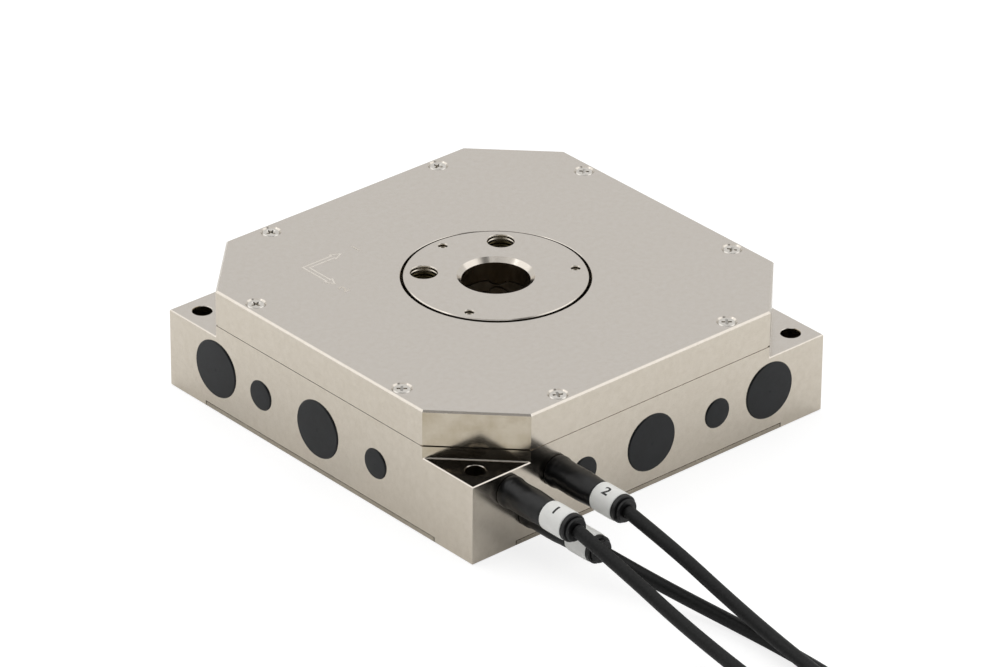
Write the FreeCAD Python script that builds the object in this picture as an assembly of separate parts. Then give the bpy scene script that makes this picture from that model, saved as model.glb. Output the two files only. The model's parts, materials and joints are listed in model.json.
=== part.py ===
"""Piezo nanopositioning stage for X, Y and Z, in millimetres.

Frame: origin at the centre of the bottom face, +Z up, the cables leave on the -Y side.
The X drive lies along the -X side, and the Y drive is its mirror image in the plane x = y.
"""

import FreeCAD
import Part

import math
import os

from FreeCAD import Vector

# Body, base plate and cover
SIDE = 100.0  # square body
HEIGHT = 30.0  # base to top face
COVER_H = 8.6  # cover, from the seam up
LEDGE_STEP = 2.7  # stepped corners, below the seam
CORNER_CUT = 16.0  # leg of each corner that the upper block lacks
BASE_T = 1.3  # base plate
FOOT = 12.0  # square corner foot
FOOT_GAP = 0.25  # base plate to foot
EDGE = 0.4  # broken outer edges
SEAM_H = 0.15  # shadow gap along the seams
SEAM_DEEP = 0.35
CORNER_SEAM_H = 0.4  # the same gap at the cut corners of the cover
LEDGE_ROOT = 0.2  # chamfer where a ledge meets the cut corner
WALL = 5.2  # outer wall of the body
MOUNT_INSET = 5.0  # corner hole to each side face
MOUNT_D = 4.4  # clearance for M4
MOUTH = 0.1  # chamfer at the mouth of a hole
RELIEF = 0.6  # moving parts to the base plate and above the body
SLOT = 0.8  # around moving parts
COVER_PLATE = 2.6
COVER_RIM = 6.4
OPENING_GAP = 0.65  # platform ring to the cover's opening
OPENING_EDGE = 0.1

# Screws that hold the cover and the base plate
SCREW_INSET = 3.0  # from the side face
SCREW_STEP = 24.0  # from the middle of the side
SCREW_D = 2.0
SCREW_HEAD_D = 3.9
SCREW_HEAD_H = 1.1
HEAD_RIM = 0.2  # bevel round the head's top
HEAD_SUNK = 0.12  # below the face
SCREW_TURNS = (48, 5, 30, 40, 62, 8, 50, 20)  # where each cross recess came to rest, degrees
COVER_SCREW_L = 12.0
BASE_SCREW_L = 5.0
THREAD_GAP = 0.03  # radial, between any screw and its hole
CROSS_W = 0.6  # cross recess
CROSS_L = 2.3
CROSS_DEEP = 0.85

# Plugs in the side faces
LARGE_PLUG_D = 13.35
SMALL_PLUG_D = 6.9
PLUG_T = 2.6
PLUG_PROUD = 0.3  # rim in front of the face
PLUG_DOME = 0.1
PLUG_EDGE = 0.2
CROWN_STEPS = 4
LARGE_ACCESS_D = 9.0
SMALL_ACCESS_D = 4.0
SMALL_ACCESS_T = 1.6  # depth behind a small plug
SMALL_PLUG_AT = 19.0  # from the middle of the side
PLUG_GAP = 0.04

# Drives: lever, drive stage, flexures and stack
LEVER_T = 5.6
LEVER_TAIL = 5.0  # past the drive link
LEVER_NOSE = 3.2  # past the stack's axis
LEVER_CHAMFER = 1.0
PIVOT_AT = 26.0  # along the lever, from the drive link
PIVOT_L = 3.4
PIVOT_W = 5.0
NECK = 0.6  # thinnest place of every notch hinge
LINK_FOOT = 2.4
LINK_L = 5.4
LINK_W = 5.0
STAGE_T = 8.0  # drive stage, along its travel
STAGE_L = 22.0
GUIDE_L = 10.0  # guide leaf
LEAF_T = 0.5
LEAF_MID_T = 1.6  # stiffened middle of a leaf
LEAF_END = 2.2  # thin length at each end of a leaf
GUIDE_INSET = 1.4  # leaf axis from the drive stage's faces
COUPLE_AT = 7.5  # coupling leaves, from the middle
STACK_INSET = 15.8  # stack axis to the side face
STACK_W = 10.0
STACK_L = 36.0
STACK_GAP = 1.0  # stack to the sides of its pocket
CHAMBER_WEB = 4.4  # guide leaves to the room for the cable ends
CHAMBER_ROOF = 1.6  # under the corner's ledge
CORNER_WEB = 3.0  # behind the cut corner, measured along a side
CAP_T = 2.0
CAP_D = 8.0
PRELOAD_D = 4.0
PRELOAD_TIP = 0.8
LINK_SCREW_D = 3.0
LINK_HEAD_D = 5.5
LINK_HEAD_H = 1.8

# XY platform and the Z drive
PLATFORM = 40.0
PLATFORM_ROUND = 2.0
BORE_D = 15.0
FLANGE_T = 1.4
CORE_STEP = 1.0  # core inside the ring's edge
CORE_T = 1.2
EDM_SLOT = 0.4  # wire-cut slot between the core and the platform
WAVE_DEEP = 1.0  # notches of the wire-cut slots in the hub
WAVE_W = 3.0
WAVE_AT = 5.2
HUB_T = 1.8  # wall of the hub round the bore
HUB_GAP = 0.4
HUB_RISE = 0.9  # into the platform ring
BEAM_T = 2.7  # between the two slots in the hub
SLIT_END = 2.4  # lower slot to the middle
DIAPHRAGM_T = 0.4
DIAPHRAGM_SLOT = 0.7
FREE_W = 1.8  # free diaphragm between the ring and its clamp
CLAMP_T = 1.4
CLAMP_W = 3.2
CLAMP_SCREW_D = 1.6
CLAMP_SCREWS = 6
RING_D = 40.0
RING_PROUD = 0.25  # above the cover
RING_CHAMFER = 0.2
BORE_CHAMFER = 1.0
TAP_INSET = 2.5  # tapped holes to the ring's edge
TAP_D = 2.05
TAP_DEPTH = 4.0
RING_SCREW_INSET = 4.45  # to the ring's edge
RING_SCREW_D = 3.0
RING_HEAD_D = 5.5
RING_HEAD_H = 1.7
RING_BORE_D = 6.0  # counterbore
RING_HEAD_TOP = 2.9  # below the top face
RING_SCREW_L = 6.0
BOSS_R = 3.2
BOSS_H = 3.2
BOSS_GAP = 0.8
Z_STACK_W = 5.0
Z_STACK_INSET = 5.5  # to the platform's side
Z_STACK_FLOOR = 2.0  # platform left under each stack
Z_TIP_H = 1.6
Z_GAP = 0.4

# Capacitive sensors
SENSOR_D = 8.0
SENSOR_L = 4.6
SENSOR_GAP = 0.2
TARGET_W = 10.0
TARGET_T = 0.8
Z_SENSOR_D = 6.0
Z_SENSOR_L = 3.0
Z_SENSOR_GAP = 0.15

# Terminal board
BOARD_T = 1.6
BOARD_W = 12.0
BOARD_H = 9.0
BOARD_GAP = 0.3
LUG_D = 1.6
LUG_H = 1.2
STANDOFF_D = 3.4

# Cables: exit x and z on the -Y face, and the boot's length
EXITS = {"x": (-40.0, 14.2, 12.7), "y": (-27.0, 14.2, 13.8), "z": (-33.8, 7.1, 13.8)}
CABLE_D = 3.0
BOOT_D = 6.4
BOOT_LIP_D = 7.2
BOOT_LIP_T = 1.6
SHANK_D = 4.0  # boot's shank through the wall
SHANK_OUT = 1.6  # shank past the wall's inner face
POST_D = 7.0  # round each corner hole, in the chamber
MARKER_L = 6.4
MARKER_D = 6.5
COLLAR_L = 1.2
COLLAR_D = 6.2
NOSE_L = 0.9
NOSE_D = 5.2
SLEEVE_GAP = 0.02

# Cable coils: one ring, a pair of layers for each cable
COIL_AT = (-24.0, -232.0)
COIL_R = 18.0  # middle of the turns
COIL_COLUMNS = 6
COIL_LAYERS = 2
TIE_T = 1.0
TIE_W = 5.0
TIE_GAP = 0.3
TIE_ANGLES = (30.0, 100.0, 315.0)
COIL_ORDER = ("z", "x", "y")  # from the floor up

# Connectors
PLUG_BODY_D = 9.4
PLUG_NUT_D = 8.6
PLUG_SLEEVE_L = 17.0
PLUG_NUT_L = 8.0
PLUG_NOSE_D = 7.0
PLUG_NOSE_L = 9.0
PLUG_RELIEF_D = 5.6
PLUG_RELIEF_L = 8.0

# Worked out from the sizes above
half = SIDE / 2
body_top = HEIGHT - COVER_H
ledge_top = body_top - LEDGE_STEP
ring_top = HEIGHT + RING_PROUD
mid_z = body_top / 2
stack_at = half - STACK_INSET
wall_in = half - WALL
lever_out = wall_in - SLOT
lever_in = lever_out - LEVER_T
stage_out = lever_in - SLOT
stage_in = stage_out - STAGE_T
mech_low = BASE_T + RELIEF
flange_low = body_top + RELIEF
flange_d = RING_D + 2 * (FREE_W + CLAMP_W)
plat_half = PLATFORM / 2
window = plat_half + SLOT
core_d = RING_D - 2 * CORE_STEP
core_top = flange_low + FLANGE_T
core_low = core_top - CORE_T
ring_low = core_top + DIAPHRAGM_T
tap_r = RING_D / 2 - TAP_INSET
ring_screw_at = (RING_D / 2 - RING_SCREW_INSET) / math.sqrt(2)
z_stack_at = plat_half - Z_STACK_INSET
opening_d = RING_D + 2 * OPENING_GAP
plat_top = core_low - EDM_SLOT
hub_d = BORE_D + 2 * HUB_T
hub_room_d = hub_d + 2 * HUB_GAP
hub_top = ring_low + HUB_RISE
slit_z = hub_top - BEAM_T
guide_end = STAGE_L / 2 + GUIDE_L
pocket_half = STACK_W / 2 + STACK_GAP
cap_front = stage_out
stack_front = cap_front - CAP_T
stack_back = stack_front - STACK_L
seat = stack_back - CAP_T
pivot_face = wall_in - PIVOT_L
link_root = lever_in - LINK_L
chamber_end = guide_end + CHAMBER_WEB
tip = half + MARKER_L + COLLAR_L + NOSE_L
exit_y = {name: -tip - EXITS[name][2] for name in EXITS}
coil_out = COIL_R + COIL_COLUMNS * CABLE_D / 2
coil_in = COIL_R - COIL_COLUMNS * CABLE_D / 2
coil_h = COIL_LAYERS * CABLE_D
last_column = COIL_R + (COIL_COLUMNS - 1) * CABLE_D / 2
entry_x = COIL_AT[0] - last_column

X_AXIS, Y_AXIS, Z_AXIS = Vector(1, 0, 0), Vector(0, 1, 0), Vector(0, 0, 1)


def layer_z(cable, layer):
    """Height of a cable's centre in the given layer of its coil."""
    return TIE_T + COIL_ORDER.index(cable) * coil_h + (layer + 0.5) * CABLE_D


def box(x0, y0, z0, x1, y1, z1):
    return Part.makeBox(x1 - x0, y1 - y0, z1 - z0, Vector(x0, y0, z0))


def rod(d, start, end):
    """A cylinder of diameter d between two points."""
    along = Vector(*end) - Vector(*start)
    return Part.makeCylinder(d / 2, along.Length, Vector(*start), along)


def cone(d0, d1, start, end):
    along = Vector(*end) - Vector(*start)
    return Part.makeCone(d0 / 2, d1 / 2, along.Length, Vector(*start), along)


def prism(points, z0, z1):
    """A polygon in plan, from z0 up to z1."""
    corners = [Vector(x, y, z0) for x, y in points]
    face = Part.Face(Part.makePolygon(corners + corners[:1]))
    return face.extrude(Z_AXIS * (z1 - z0))


def square(w, z0, z1):
    return box(-w / 2, -w / 2, z0, w / 2, w / 2, z1)


def disc(d, z0, z1, x=0.0, y=0.0):
    return rod(d, (x, y, z0), (x, y, z1))


def octagon(w, cut, z0, z1):
    """A square of width w in plan, its corners cut off with the given leg."""
    h, c = w / 2, w / 2 - cut
    ring = [(c, -h), (h, -c), (h, c), (c, h), (-c, h), (-h, c), (-h, -c), (-c, -h)]
    return prism(ring, z0, z1)


def revolved(outline, start, along):
    """A solid turned about the axis from start; outline holds (radius, distance) pairs."""
    corners = [Vector(r, 0, t) for r, t in outline]
    face = Part.Face(Part.makePolygon(corners + corners[:1]))
    solid = face.revolve(Vector(0, 0, 0), Z_AXIS, 360)
    solid.Placement = FreeCAD.Placement(Vector(*start), FreeCAD.Rotation(Z_AXIS, along))
    return solid


def fused(first, *rest):
    return first.fuse(list(rest)).removeSplitter()


def mirrored(shape):
    """The same shape on the other side of the plane x = y."""
    return shape.mirror(Vector(0, 0, 0), Vector(1, -1, 0).normalize())


def corners(at):
    return [(x, y) for x in (-at, at) for y in (-at, at)]


def edge_screws():
    """Plan positions of the eight screws along the edges."""
    far = half - SCREW_INSET
    spots = [(far, SCREW_STEP), (SCREW_STEP, far)]
    return [(sx * x, sy * y) for x, y in spots for sx in (-1, 1) for sy in (-1, 1)]


def side_plugs():
    """(large or not, face centre, outward normal) of every plug."""
    spots = []
    for normal, across in ((-X_AXIS, Y_AXIS), (-Y_AXIS, X_AXIS), (X_AXIS, Y_AXIS), (Y_AXIS, X_AXIS)):
        front = normal.x + normal.y < 0
        places = [(True, 0.0), (False, -SMALL_PLUG_AT), (False, SMALL_PLUG_AT)]
        if front:
            places.append((True, stack_at))
        for large, t in places:
            spots.append((large, normal * half + across * t + Z_AXIS * mid_z, normal))
    return spots


def shift(point, along, distance):
    return tuple(point + along * distance)


def countersunk(d, head_d, head_h, length):
    """A countersunk screw with a cross recess, its head's top at z = 0 and its tip below."""
    r, s = head_d / 2, d / 2
    outline = [
        (0, 0),
        (r - HEAD_RIM, 0),
        (r, -HEAD_RIM),
        (s, -head_h),
        (s, -length + 0.2 * d),
        (0.6 * s, -length),
        (0, -length),
    ]
    screw = revolved(outline, (0, 0, 0), Z_AXIS)
    reach = CROSS_L / 2
    wing = [(-reach, 0), (reach, 0), (CROSS_W / 2, -CROSS_DEEP), (-CROSS_W / 2, -CROSS_DEEP)]
    for turn in (0, 90):
        slot = upright_prism(wing, CROSS_W)
        slot.rotate(Vector(0, 0, 0), Z_AXIS, turn)
        screw = screw.cut(slot)
    return screw


def upright_prism(points, width):
    """A polygon in the plane y = 0, from (x, z) pairs, given a width across it."""
    corners = [Vector(x, -width / 2, z) for x, z in points]
    face = Part.Face(Part.makePolygon(corners + corners[:1]))
    return face.extrude(Y_AXIS * width)


def hexagon(across, z0, z1):
    r = across / math.sqrt(3)
    turn = math.pi / 3
    return prism([(r * math.cos(k * turn), r * math.sin(k * turn)) for k in range(6)], z0, z1)


def socket_screw(d, head_d, head_h, length, key):
    """A socket head screw with the head's seat at z = 0 and its shank below."""
    screw = fused(
        Part.makeCylinder(head_d / 2, head_h),
        Part.makeCylinder(d / 2, length, Vector(0, 0, -length)),
    )
    return screw.cut(hexagon(key, head_h * 0.35, head_h + 1))


def aimed(shape, place, along):
    """The shape with its +Z turned to the direction along, and its origin at place."""
    moved = shape.copy()
    moved.Placement = FreeCAD.Placement(Vector(*place), FreeCAD.Rotation(Z_AXIS, along))
    return moved


def leaf(length, z0, z1):
    """A leaf flexure from the origin along +X, its middle stiffened."""
    thin, mid = LEAF_T / 2, LEAF_MID_T / 2
    ramp = mid - thin
    a, b = LEAF_END, length - LEAF_END
    upper = [(0, thin), (a, thin), (a + ramp, mid), (b - ramp, mid), (b, thin), (length, thin)]
    return prism(upper + [(x, -y) for x, y in reversed(upper)], z0, z1)


def notch_hinge(length, width, z0, z1):
    """A notch hinge from the origin along +X: a web between two round notches."""
    web = box(0, -width / 2, z0, length, width / 2, z1)
    r = length / 2 - 0.1 * length
    for side in (-1, 1):
        web = web.cut(disc(2 * r, z0, z1, length / 2, side * (NECK / 2 + r)))
    return web


def wave(z, deep, x0, x1):
    """Centre line of a wire-cut slot at y = 0 and height z, with a notch at each side of the bore."""
    stops = [x0]
    edges = []
    for at in (-WAVE_AT, WAVE_AT):
        if not x0 < at < x1:
            continue
        left, right = at - WAVE_W / 2, at + WAVE_W / 2
        edges.append(Part.LineSegment(Vector(stops[-1], 0, z), Vector(left, 0, z)))
        edges.append(Part.Arc(Vector(left, 0, z), Vector(at, 0, z - deep), Vector(right, 0, z)))
        stops.append(right)
    edges.append(Part.LineSegment(Vector(stops[-1], 0, z), Vector(x1, 0, z)))
    return [e.toShape() for e in edges]


def above_wave(z, top):
    """Everything over the notched surface at height z, up to top."""
    far = hub_room_d
    path = wave(z, WAVE_DEEP, -far, far)
    path += [
        Part.makeLine(Vector(far, 0, z), Vector(far, 0, top)),
        Part.makeLine(Vector(far, 0, top), Vector(-far, 0, top)),
        Part.makeLine(Vector(-far, 0, top), Vector(-far, 0, z)),
    ]
    block = Part.Face(Part.Wire(path)).extrude(Y_AXIS * (2 * far))
    block.translate(Y_AXIS * -far)
    return block


def lower_slit():
    """Slot under the beam on each side of the hub, arched towards the notch over it."""
    far = hub_d
    slits = []
    for x0, x1 in ((SLIT_END, far), (-far, -SLIT_END)):
        low = wave(slit_z, -WAVE_DEEP, x0, x1)
        high = wave(slit_z + EDM_SLOT, -WAVE_DEEP, x0, x1)
        ends = [
            Part.makeLine(Vector(x, 0, slit_z), Vector(x, 0, slit_z + EDM_SLOT)) for x in (x0, x1)
        ]
        face = Part.Face(Part.Wire(Part.__sortEdges__(low + high + ends)))
        slit = face.extrude(Y_AXIS * (2 * far))
        slit.translate(Y_AXIS * -far)
        slits.append(slit)
    return slits


# X drive, along the -X side; the Y drive is its mirror image


def x_drive_pocket():
    """Everything the X drive needs cut out of the body."""
    z0, z1 = BASE_T, body_top
    nose = stack_at + LEVER_NOSE + SLOT
    c = LEVER_CHAMFER
    lever_room = prism(
        [
            (-wall_in, -LEVER_TAIL - SLOT),
            (-stage_out, -LEVER_TAIL - SLOT),
            (-stage_out, nose),
            (-wall_in + c, nose),
            (-wall_in, nose - c),
        ],
        z0,
        z1,
    )
    guide_room = box(-stage_out - SLOT, -guide_end, z0, -stage_in + SLOT, guide_end, z1)
    couple_half = STAGE_L / 2 + SLOT
    couple_room = box(-stage_in, -couple_half, z0, -plat_half, couple_half, z1)
    stack_room = box(
        -stage_out - SLOT, stack_at - pocket_half, z0, -seat, stack_at + pocket_half, z1
    )
    return fused(lever_room, guide_room, couple_room, stack_room)


def lever():
    """Lever of the X drive: the stack pushes its nose, and its other arm pushes the stage."""
    z0, z1 = mech_low, body_top - RELIEF
    nose = stack_at + LEVER_NOSE
    c = LEVER_CHAMFER
    outline = [
        (-lever_out, -LEVER_TAIL),
        (-lever_in, -LEVER_TAIL),
        (-lever_in, nose),
        (-lever_out + c, nose),
        (-lever_out, nose - c),
    ]
    shape = prism(outline, z0, z1)
    room = PIVOT_W / 2 + SLOT
    shape = shape.cut(box(-lever_out, PIVOT_AT - room, z0, -pivot_face, PIVOT_AT + room, z1))
    hole = PRELOAD_D + 2 * THREAD_GAP
    shape = shape.cut(rod(hole, (-half, stack_at, mid_z), (-lever_in, stack_at, mid_z)))
    hole = LINK_SCREW_D + 2 * THREAD_GAP
    shape = shape.cut(rod(hole, (-half, 0, mid_z), (-lever_in, 0, mid_z)))
    hole = LINK_HEAD_D + 2 * SLEEVE_GAP + SLOT / 2
    seat_x = -lever_out + LINK_HEAD_H
    shape = shape.cut(rod(hole, (-half, 0, mid_z), (seat_x, 0, mid_z)))
    return shape


def lever_pivot():
    web = notch_hinge(PIVOT_L, PIVOT_W, mech_low, body_top - RELIEF)
    web.translate(Vector(-wall_in, PIVOT_AT, 0))
    return web


def drive_stage():
    """Bar that the lever pushes, with a recess for the notched link."""
    z0, z1 = mech_low, body_top - RELIEF
    bar = box(-stage_out, -STAGE_L / 2, z0, -stage_in, STAGE_L / 2, z1)
    room = LINK_W / 2 + SLOT
    return bar.cut(box(-stage_out, -room, z0, -link_root, room, z1))


def drive_link():
    """Link between lever and stage: a foot, a notch hinge and a root."""
    z0, z1 = mech_low, body_top - RELIEF
    foot = box(-lever_in, -LINK_W / 2, z0, -lever_in + LINK_FOOT, LINK_W / 2, z1)
    web = notch_hinge(LINK_L - LINK_FOOT, LINK_W, z0, z1)
    web.translate(Vector(-lever_in + LINK_FOOT, 0, 0))
    link = fused(foot, web)
    hole = LINK_SCREW_D + 2 * THREAD_GAP
    end = -lever_in + LINK_FOOT
    return link.cut(rod(hole, (-lever_in, 0, mid_z), (end, 0, mid_z)))


def link_screw():
    length = LEVER_T - LINK_HEAD_H + LINK_FOOT - SLEEVE_GAP
    screw = socket_screw(LINK_SCREW_D, LINK_HEAD_D, LINK_HEAD_H, length, LINK_SCREW_D * 0.8)
    return aimed(screw, (-lever_out + LINK_HEAD_H, 0, mid_z), -X_AXIS)


def preload_screw():
    """Grub screw through the lever's nose, its round tip on the stack's cap."""
    r = PRELOAD_D / 2
    length = LEVER_T + SLOT
    outline = [(0, 0), (r * 0.5, PRELOAD_TIP * 0.3), (r * 0.8, PRELOAD_TIP), (r, PRELOAD_TIP + 0.2)]
    outline += [(r, length), (0, length)]
    screw = revolved(outline, (-cap_front, stack_at, mid_z), -X_AXIS)
    key = aimed(hexagon(r, 0, r), (-cap_front - length + r, stack_at, mid_z), -X_AXIS)
    return screw.cut(key)


def guide_leaves():
    """Four leaves that let the drive stage move along X only."""
    leaves = []
    for x in (-stage_out + GUIDE_INSET, -stage_in - GUIDE_INSET):
        for side in (-1, 1):
            one = leaf(GUIDE_L, mech_low, body_top - RELIEF)
            one.rotate(Vector(0, 0, 0), Z_AXIS, 90 * side)
            one.translate(Vector(x, side * STAGE_L / 2, 0))
            leaves.append(one)
    return leaves


def coupling_leaves():
    """Two leaves that push the platform along X and bend when it moves along Y."""
    leaves = []
    for side in (-1, 1):
        one = leaf(stage_in - plat_half, mech_low, body_top - RELIEF)
        one.translate(Vector(-stage_in, side * COUPLE_AT, 0))
        leaves.append(one)
    return leaves


def stack():
    """Piezo stack of the X drive, along X."""
    h = STACK_W / 2
    block = box(
        -stack_front, stack_at - h, mid_z - h, -stack_back, stack_at + h, mid_z + h
    )
    return block.makeChamfer(EDGE, [e for e in block.Edges if e.Length > STACK_W + 1])


def stack_caps():
    """Steel caps between the stack, the preload screw and the seat in the body."""
    caps = []
    for x in (-cap_front, -stack_back):
        caps.append(rod(CAP_D, (x, stack_at, mid_z), (x + CAP_T, stack_at, mid_z)))
    return caps


def sensor_probe():
    """Capacitive probe in the body, facing the platform's +X side."""
    face = plat_half + SENSOR_GAP
    return rod(SENSOR_D, (face, 0, mid_z), (face + SENSOR_L, 0, mid_z))


def sensor_target():
    x = plat_half - TARGET_T
    h = TARGET_W / 2
    return box(x, -h, mid_z - h, plat_half, h, mid_z + h)


# Fixed parts


def body():
    z0 = 0.0
    block = fused(
        square(SIDE, z0, ledge_top), octagon(SIDE, CORNER_CUT, ledge_top - EDGE, body_top)
    )
    foot_line = half - FOOT
    recess = square(SIDE, z0, BASE_T)
    for x, y in corners(half - FOOT / 2):
        recess = recess.cut(
            box(x - FOOT / 2, y - FOOT / 2, z0, x + FOOT / 2, y + FOOT / 2, BASE_T)
        )
    block = block.cut(recess)
    sharp = [
        e
        for e in block.Edges
        if all(abs(v.Z) < 1e-6 and max(abs(v.X), abs(v.Y)) > foot_line - 1e-6 for v in e.Vertexes)
        and max(abs(e.CenterOfMass.x), abs(e.CenterOfMass.y)) > half - 1e-6
    ]
    sharp += [
        e
        for e in block.Edges
        if all(abs(v.Z - ledge_top) < 1e-6 for v in e.Vertexes)
        and max(abs(e.CenterOfMass.x), abs(e.CenterOfMass.y)) > half - 1e-6
        and min(abs(e.CenterOfMass.x), abs(e.CenterOfMass.y)) > half - CORNER_CUT
    ]
    block = block.makeChamfer(EDGE / 2, sharp)
    middle = half - CORNER_CUT / 2
    roots = [
        e
        for e in level_edges(block, ledge_top)
        if max(abs(abs(e.CenterOfMass.x) - middle), abs(abs(e.CenterOfMass.y) - middle)) < 1e-6
    ]
    block = block.makeChamfer(LEDGE_ROOT, roots)
    drives = x_drive_pocket()
    block = block.cut([drives, mirrored(drives)])
    block = block.cut(square(2 * window, BASE_T, body_top))
    block = block.cut(chamber())
    holes = [disc(MOUNT_D, z0, body_top, x, y) for x, y in corners(half - MOUNT_INSET)]
    for x, y in corners(half - MOUNT_INSET):
        holes.append(mouth(MOUNT_D, (x, y, ledge_top)))
    screw = SCREW_D + 2 * THREAD_GAP
    reach = COVER_SCREW_L - (HEIGHT - body_top)
    for x, y in edge_screws():
        holes.append(disc(screw, body_top - reach, body_top, x, y))
        holes.append(disc(screw, BASE_T, BASE_SCREW_L, x, y))
    for large, face, normal in side_plugs():
        holes.append(plug_hole(large, face, normal))
    for x, z, _ in EXITS.values():
        end = (x, -wall_in + SHANK_OUT, z)
        holes.append(rod(SHANK_D + 2 * SLEEVE_GAP, (x, -half, z), end))
    face = plat_half + SENSOR_GAP
    probe = rod(SENSOR_D + 2 * PLUG_GAP, (0, 0, mid_z), (face + SENSOR_L, 0, mid_z))
    return block.cut(holes + [probe, mirrored(probe)])


def level_edges(shape, z):
    return [e for e in shape.Edges if all(abs(v.Z - z) < 1e-6 for v in e.Vertexes)]


def mouth(d, top):
    """The chamfer at the upper end of a round hole."""
    x, y, z = top
    return cone(d + 2 * MOUTH, d, (x, y, z), (x, y, z - MOUTH))


def chamber():
    """Room for the cable ends, in the corner between the two drives."""
    z0, z1 = BASE_T, body_top
    inner, outer = -chamber_end, -wall_in
    room = box(outer, outer, z0, inner, inner, z1)
    room = room.common(octagon(SIDE, CORNER_CUT + CORNER_WEB, z0, z1))
    room = fused(room, box(outer, outer, z0, inner, inner, ledge_top - CHAMBER_ROOF))
    post = disc(POST_D, z0, z1, -half + MOUNT_INSET, -half + MOUNT_INSET)
    return room.cut(post)


def plug_hole(large, face, normal):
    d = LARGE_PLUG_D if large else SMALL_PLUG_D
    hole = rod(d + 2 * PLUG_GAP, tuple(face), shift(face, normal, -PLUG_T))
    if large:
        far = WALL if normal.x + normal.y < 0 else half - stack_at - pocket_half
        access = rod(LARGE_ACCESS_D, shift(face, normal, -PLUG_T), shift(face, normal, -far))
    else:
        end = PLUG_T + SMALL_ACCESS_T
        access = rod(SMALL_ACCESS_D, shift(face, normal, -PLUG_T), shift(face, normal, -end))
    return fused(hole, access)


def side_plug(large, face, normal):
    """A round cap with a broken rim and a crowned face that stands a little proud."""
    r = (LARGE_PLUG_D if large else SMALL_PLUG_D) / 2
    rim = r - PLUG_EDGE
    top = PLUG_T + PLUG_PROUD
    steps = [k / CROWN_STEPS for k in range(CROWN_STEPS)]
    crown = [(rim * s, top + PLUG_DOME * (1 - s**2)) for s in steps]
    outline = [(0, 0), (r, 0), (r, top - PLUG_EDGE), (rim, top)] + crown[::-1]
    return revolved(outline, shift(face, normal, -PLUG_T), normal)


def base_plate():
    plate = square(SIDE, 0, BASE_T)
    reach = FOOT + FOOT_GAP
    for x, y in corners(half - reach / 2):
        h = reach / 2
        plate = plate.cut(box(x - h, y - h, 0, x + h, y + h, BASE_T))
    rim = [
        e
        for e in level_edges(plate, 0)
        if max(abs(e.CenterOfMass.x), abs(e.CenterOfMass.y)) > half - 1e-6
    ]
    plate = plate.makeChamfer(EDGE / 2, rim)
    gap = square(SIDE, BASE_T - SEAM_H, BASE_T)
    plate = plate.cut(gap.cut(square(SIDE - 2 * SEAM_DEEP, BASE_T - SEAM_H, BASE_T)))
    plate = plate.cut(disc(BORE_D + 2 * EDGE, 0, BASE_T))
    for x, y in edge_screws():
        plate = plate.cut(screw_seat(x, y, 0.0, Z_AXIS, BASE_T))
    return plate


def screw_seat(x, y, z, inward, depth):
    """The countersunk hole of one edge screw."""
    d, lip = SCREW_D + 2 * THREAD_GAP, HEAD_RIM + HEAD_SUNK
    slope = (SCREW_HEAD_D - SCREW_D) / (SCREW_HEAD_H - HEAD_RIM)
    head = SCREW_HEAD_D + 2 * THREAD_GAP + slope * lip
    top = Vector(x, y, z)
    funnel = cone(head, d, top, top + inward * (SCREW_HEAD_H + HEAD_SUNK))
    return fused(funnel, rod(d, top, top + inward * depth))


def cover():
    """Octagonal cap over the Z stage, with a round opening for the platform ring."""
    shell = octagon(SIDE, CORNER_CUT, body_top, HEIGHT)
    shell = shell.makeChamfer(EDGE, level_edges(shell, HEIGHT))
    seam_top = body_top + SEAM_H
    inner_cut = CORNER_CUT - SEAM_DEEP * (2 - math.sqrt(2))
    gap = octagon(SIDE, CORNER_CUT, body_top, seam_top)
    gap = gap.cut(octagon(SIDE - 2 * SEAM_DEEP, inner_cut, body_top, seam_top))
    shell = shell.cut(gap)
    gap = octagon(SIDE, CORNER_CUT, body_top, body_top + CORNER_SEAM_H)
    inner_cut = CORNER_CUT + SEAM_DEEP * math.sqrt(2)
    shell = shell.cut(gap.cut(octagon(SIDE, inner_cut, body_top, body_top + CORNER_SEAM_H)))
    inner_cut = CORNER_CUT - COVER_RIM * (2 - math.sqrt(2))
    shell = shell.cut(
        octagon(SIDE - 2 * COVER_RIM, inner_cut, body_top, HEIGHT - COVER_PLATE)
    )
    shell = shell.cut(disc(opening_d, body_top, HEIGHT))
    r = opening_d / 2
    rim = cone(2 * (r + OPENING_EDGE), 2 * r, (0, 0, HEIGHT), (0, 0, HEIGHT - OPENING_EDGE))
    shell = shell.cut(rim)
    seats = [screw_seat(x, y, HEIGHT, -Z_AXIS, HEIGHT - body_top) for x, y in edge_screws()]
    return shell.cut(seats)


def set_screws(length, z, along):
    """Eight edge screws with their heads at height z, each turned to its own angle."""
    screw = countersunk(SCREW_D, SCREW_HEAD_D, SCREW_HEAD_H, length)
    placed = []
    for (x, y), turn in zip(edge_screws(), SCREW_TURNS):
        spun = screw.copy()
        spun.rotate(Vector(0, 0, 0), Z_AXIS, turn)
        if along.z < 0:
            spun.rotate(Vector(0, 0, 0), X_AXIS, 180)
        spun.translate(Vector(x, y, z))
        placed.append(spun)
    return placed


def cover_screws():
    return set_screws(COVER_SCREW_L - EDGE, HEIGHT - HEAD_SUNK, Z_AXIS)


def base_screws():
    return set_screws(BASE_SCREW_L - EDGE, HEAD_SUNK, -Z_AXIS)


# XY platform and the Z stage on it


def z_stack_spots():
    """Angle and plan position of the three upright stacks."""
    return [
        (a, z_stack_at * math.cos(math.radians(a)), z_stack_at * math.sin(math.radians(a)))
        for a in (90, 210, 330)
    ]


def ring_screw_spots():
    return [(-ring_screw_at, ring_screw_at), (ring_screw_at, ring_screw_at)]


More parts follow.
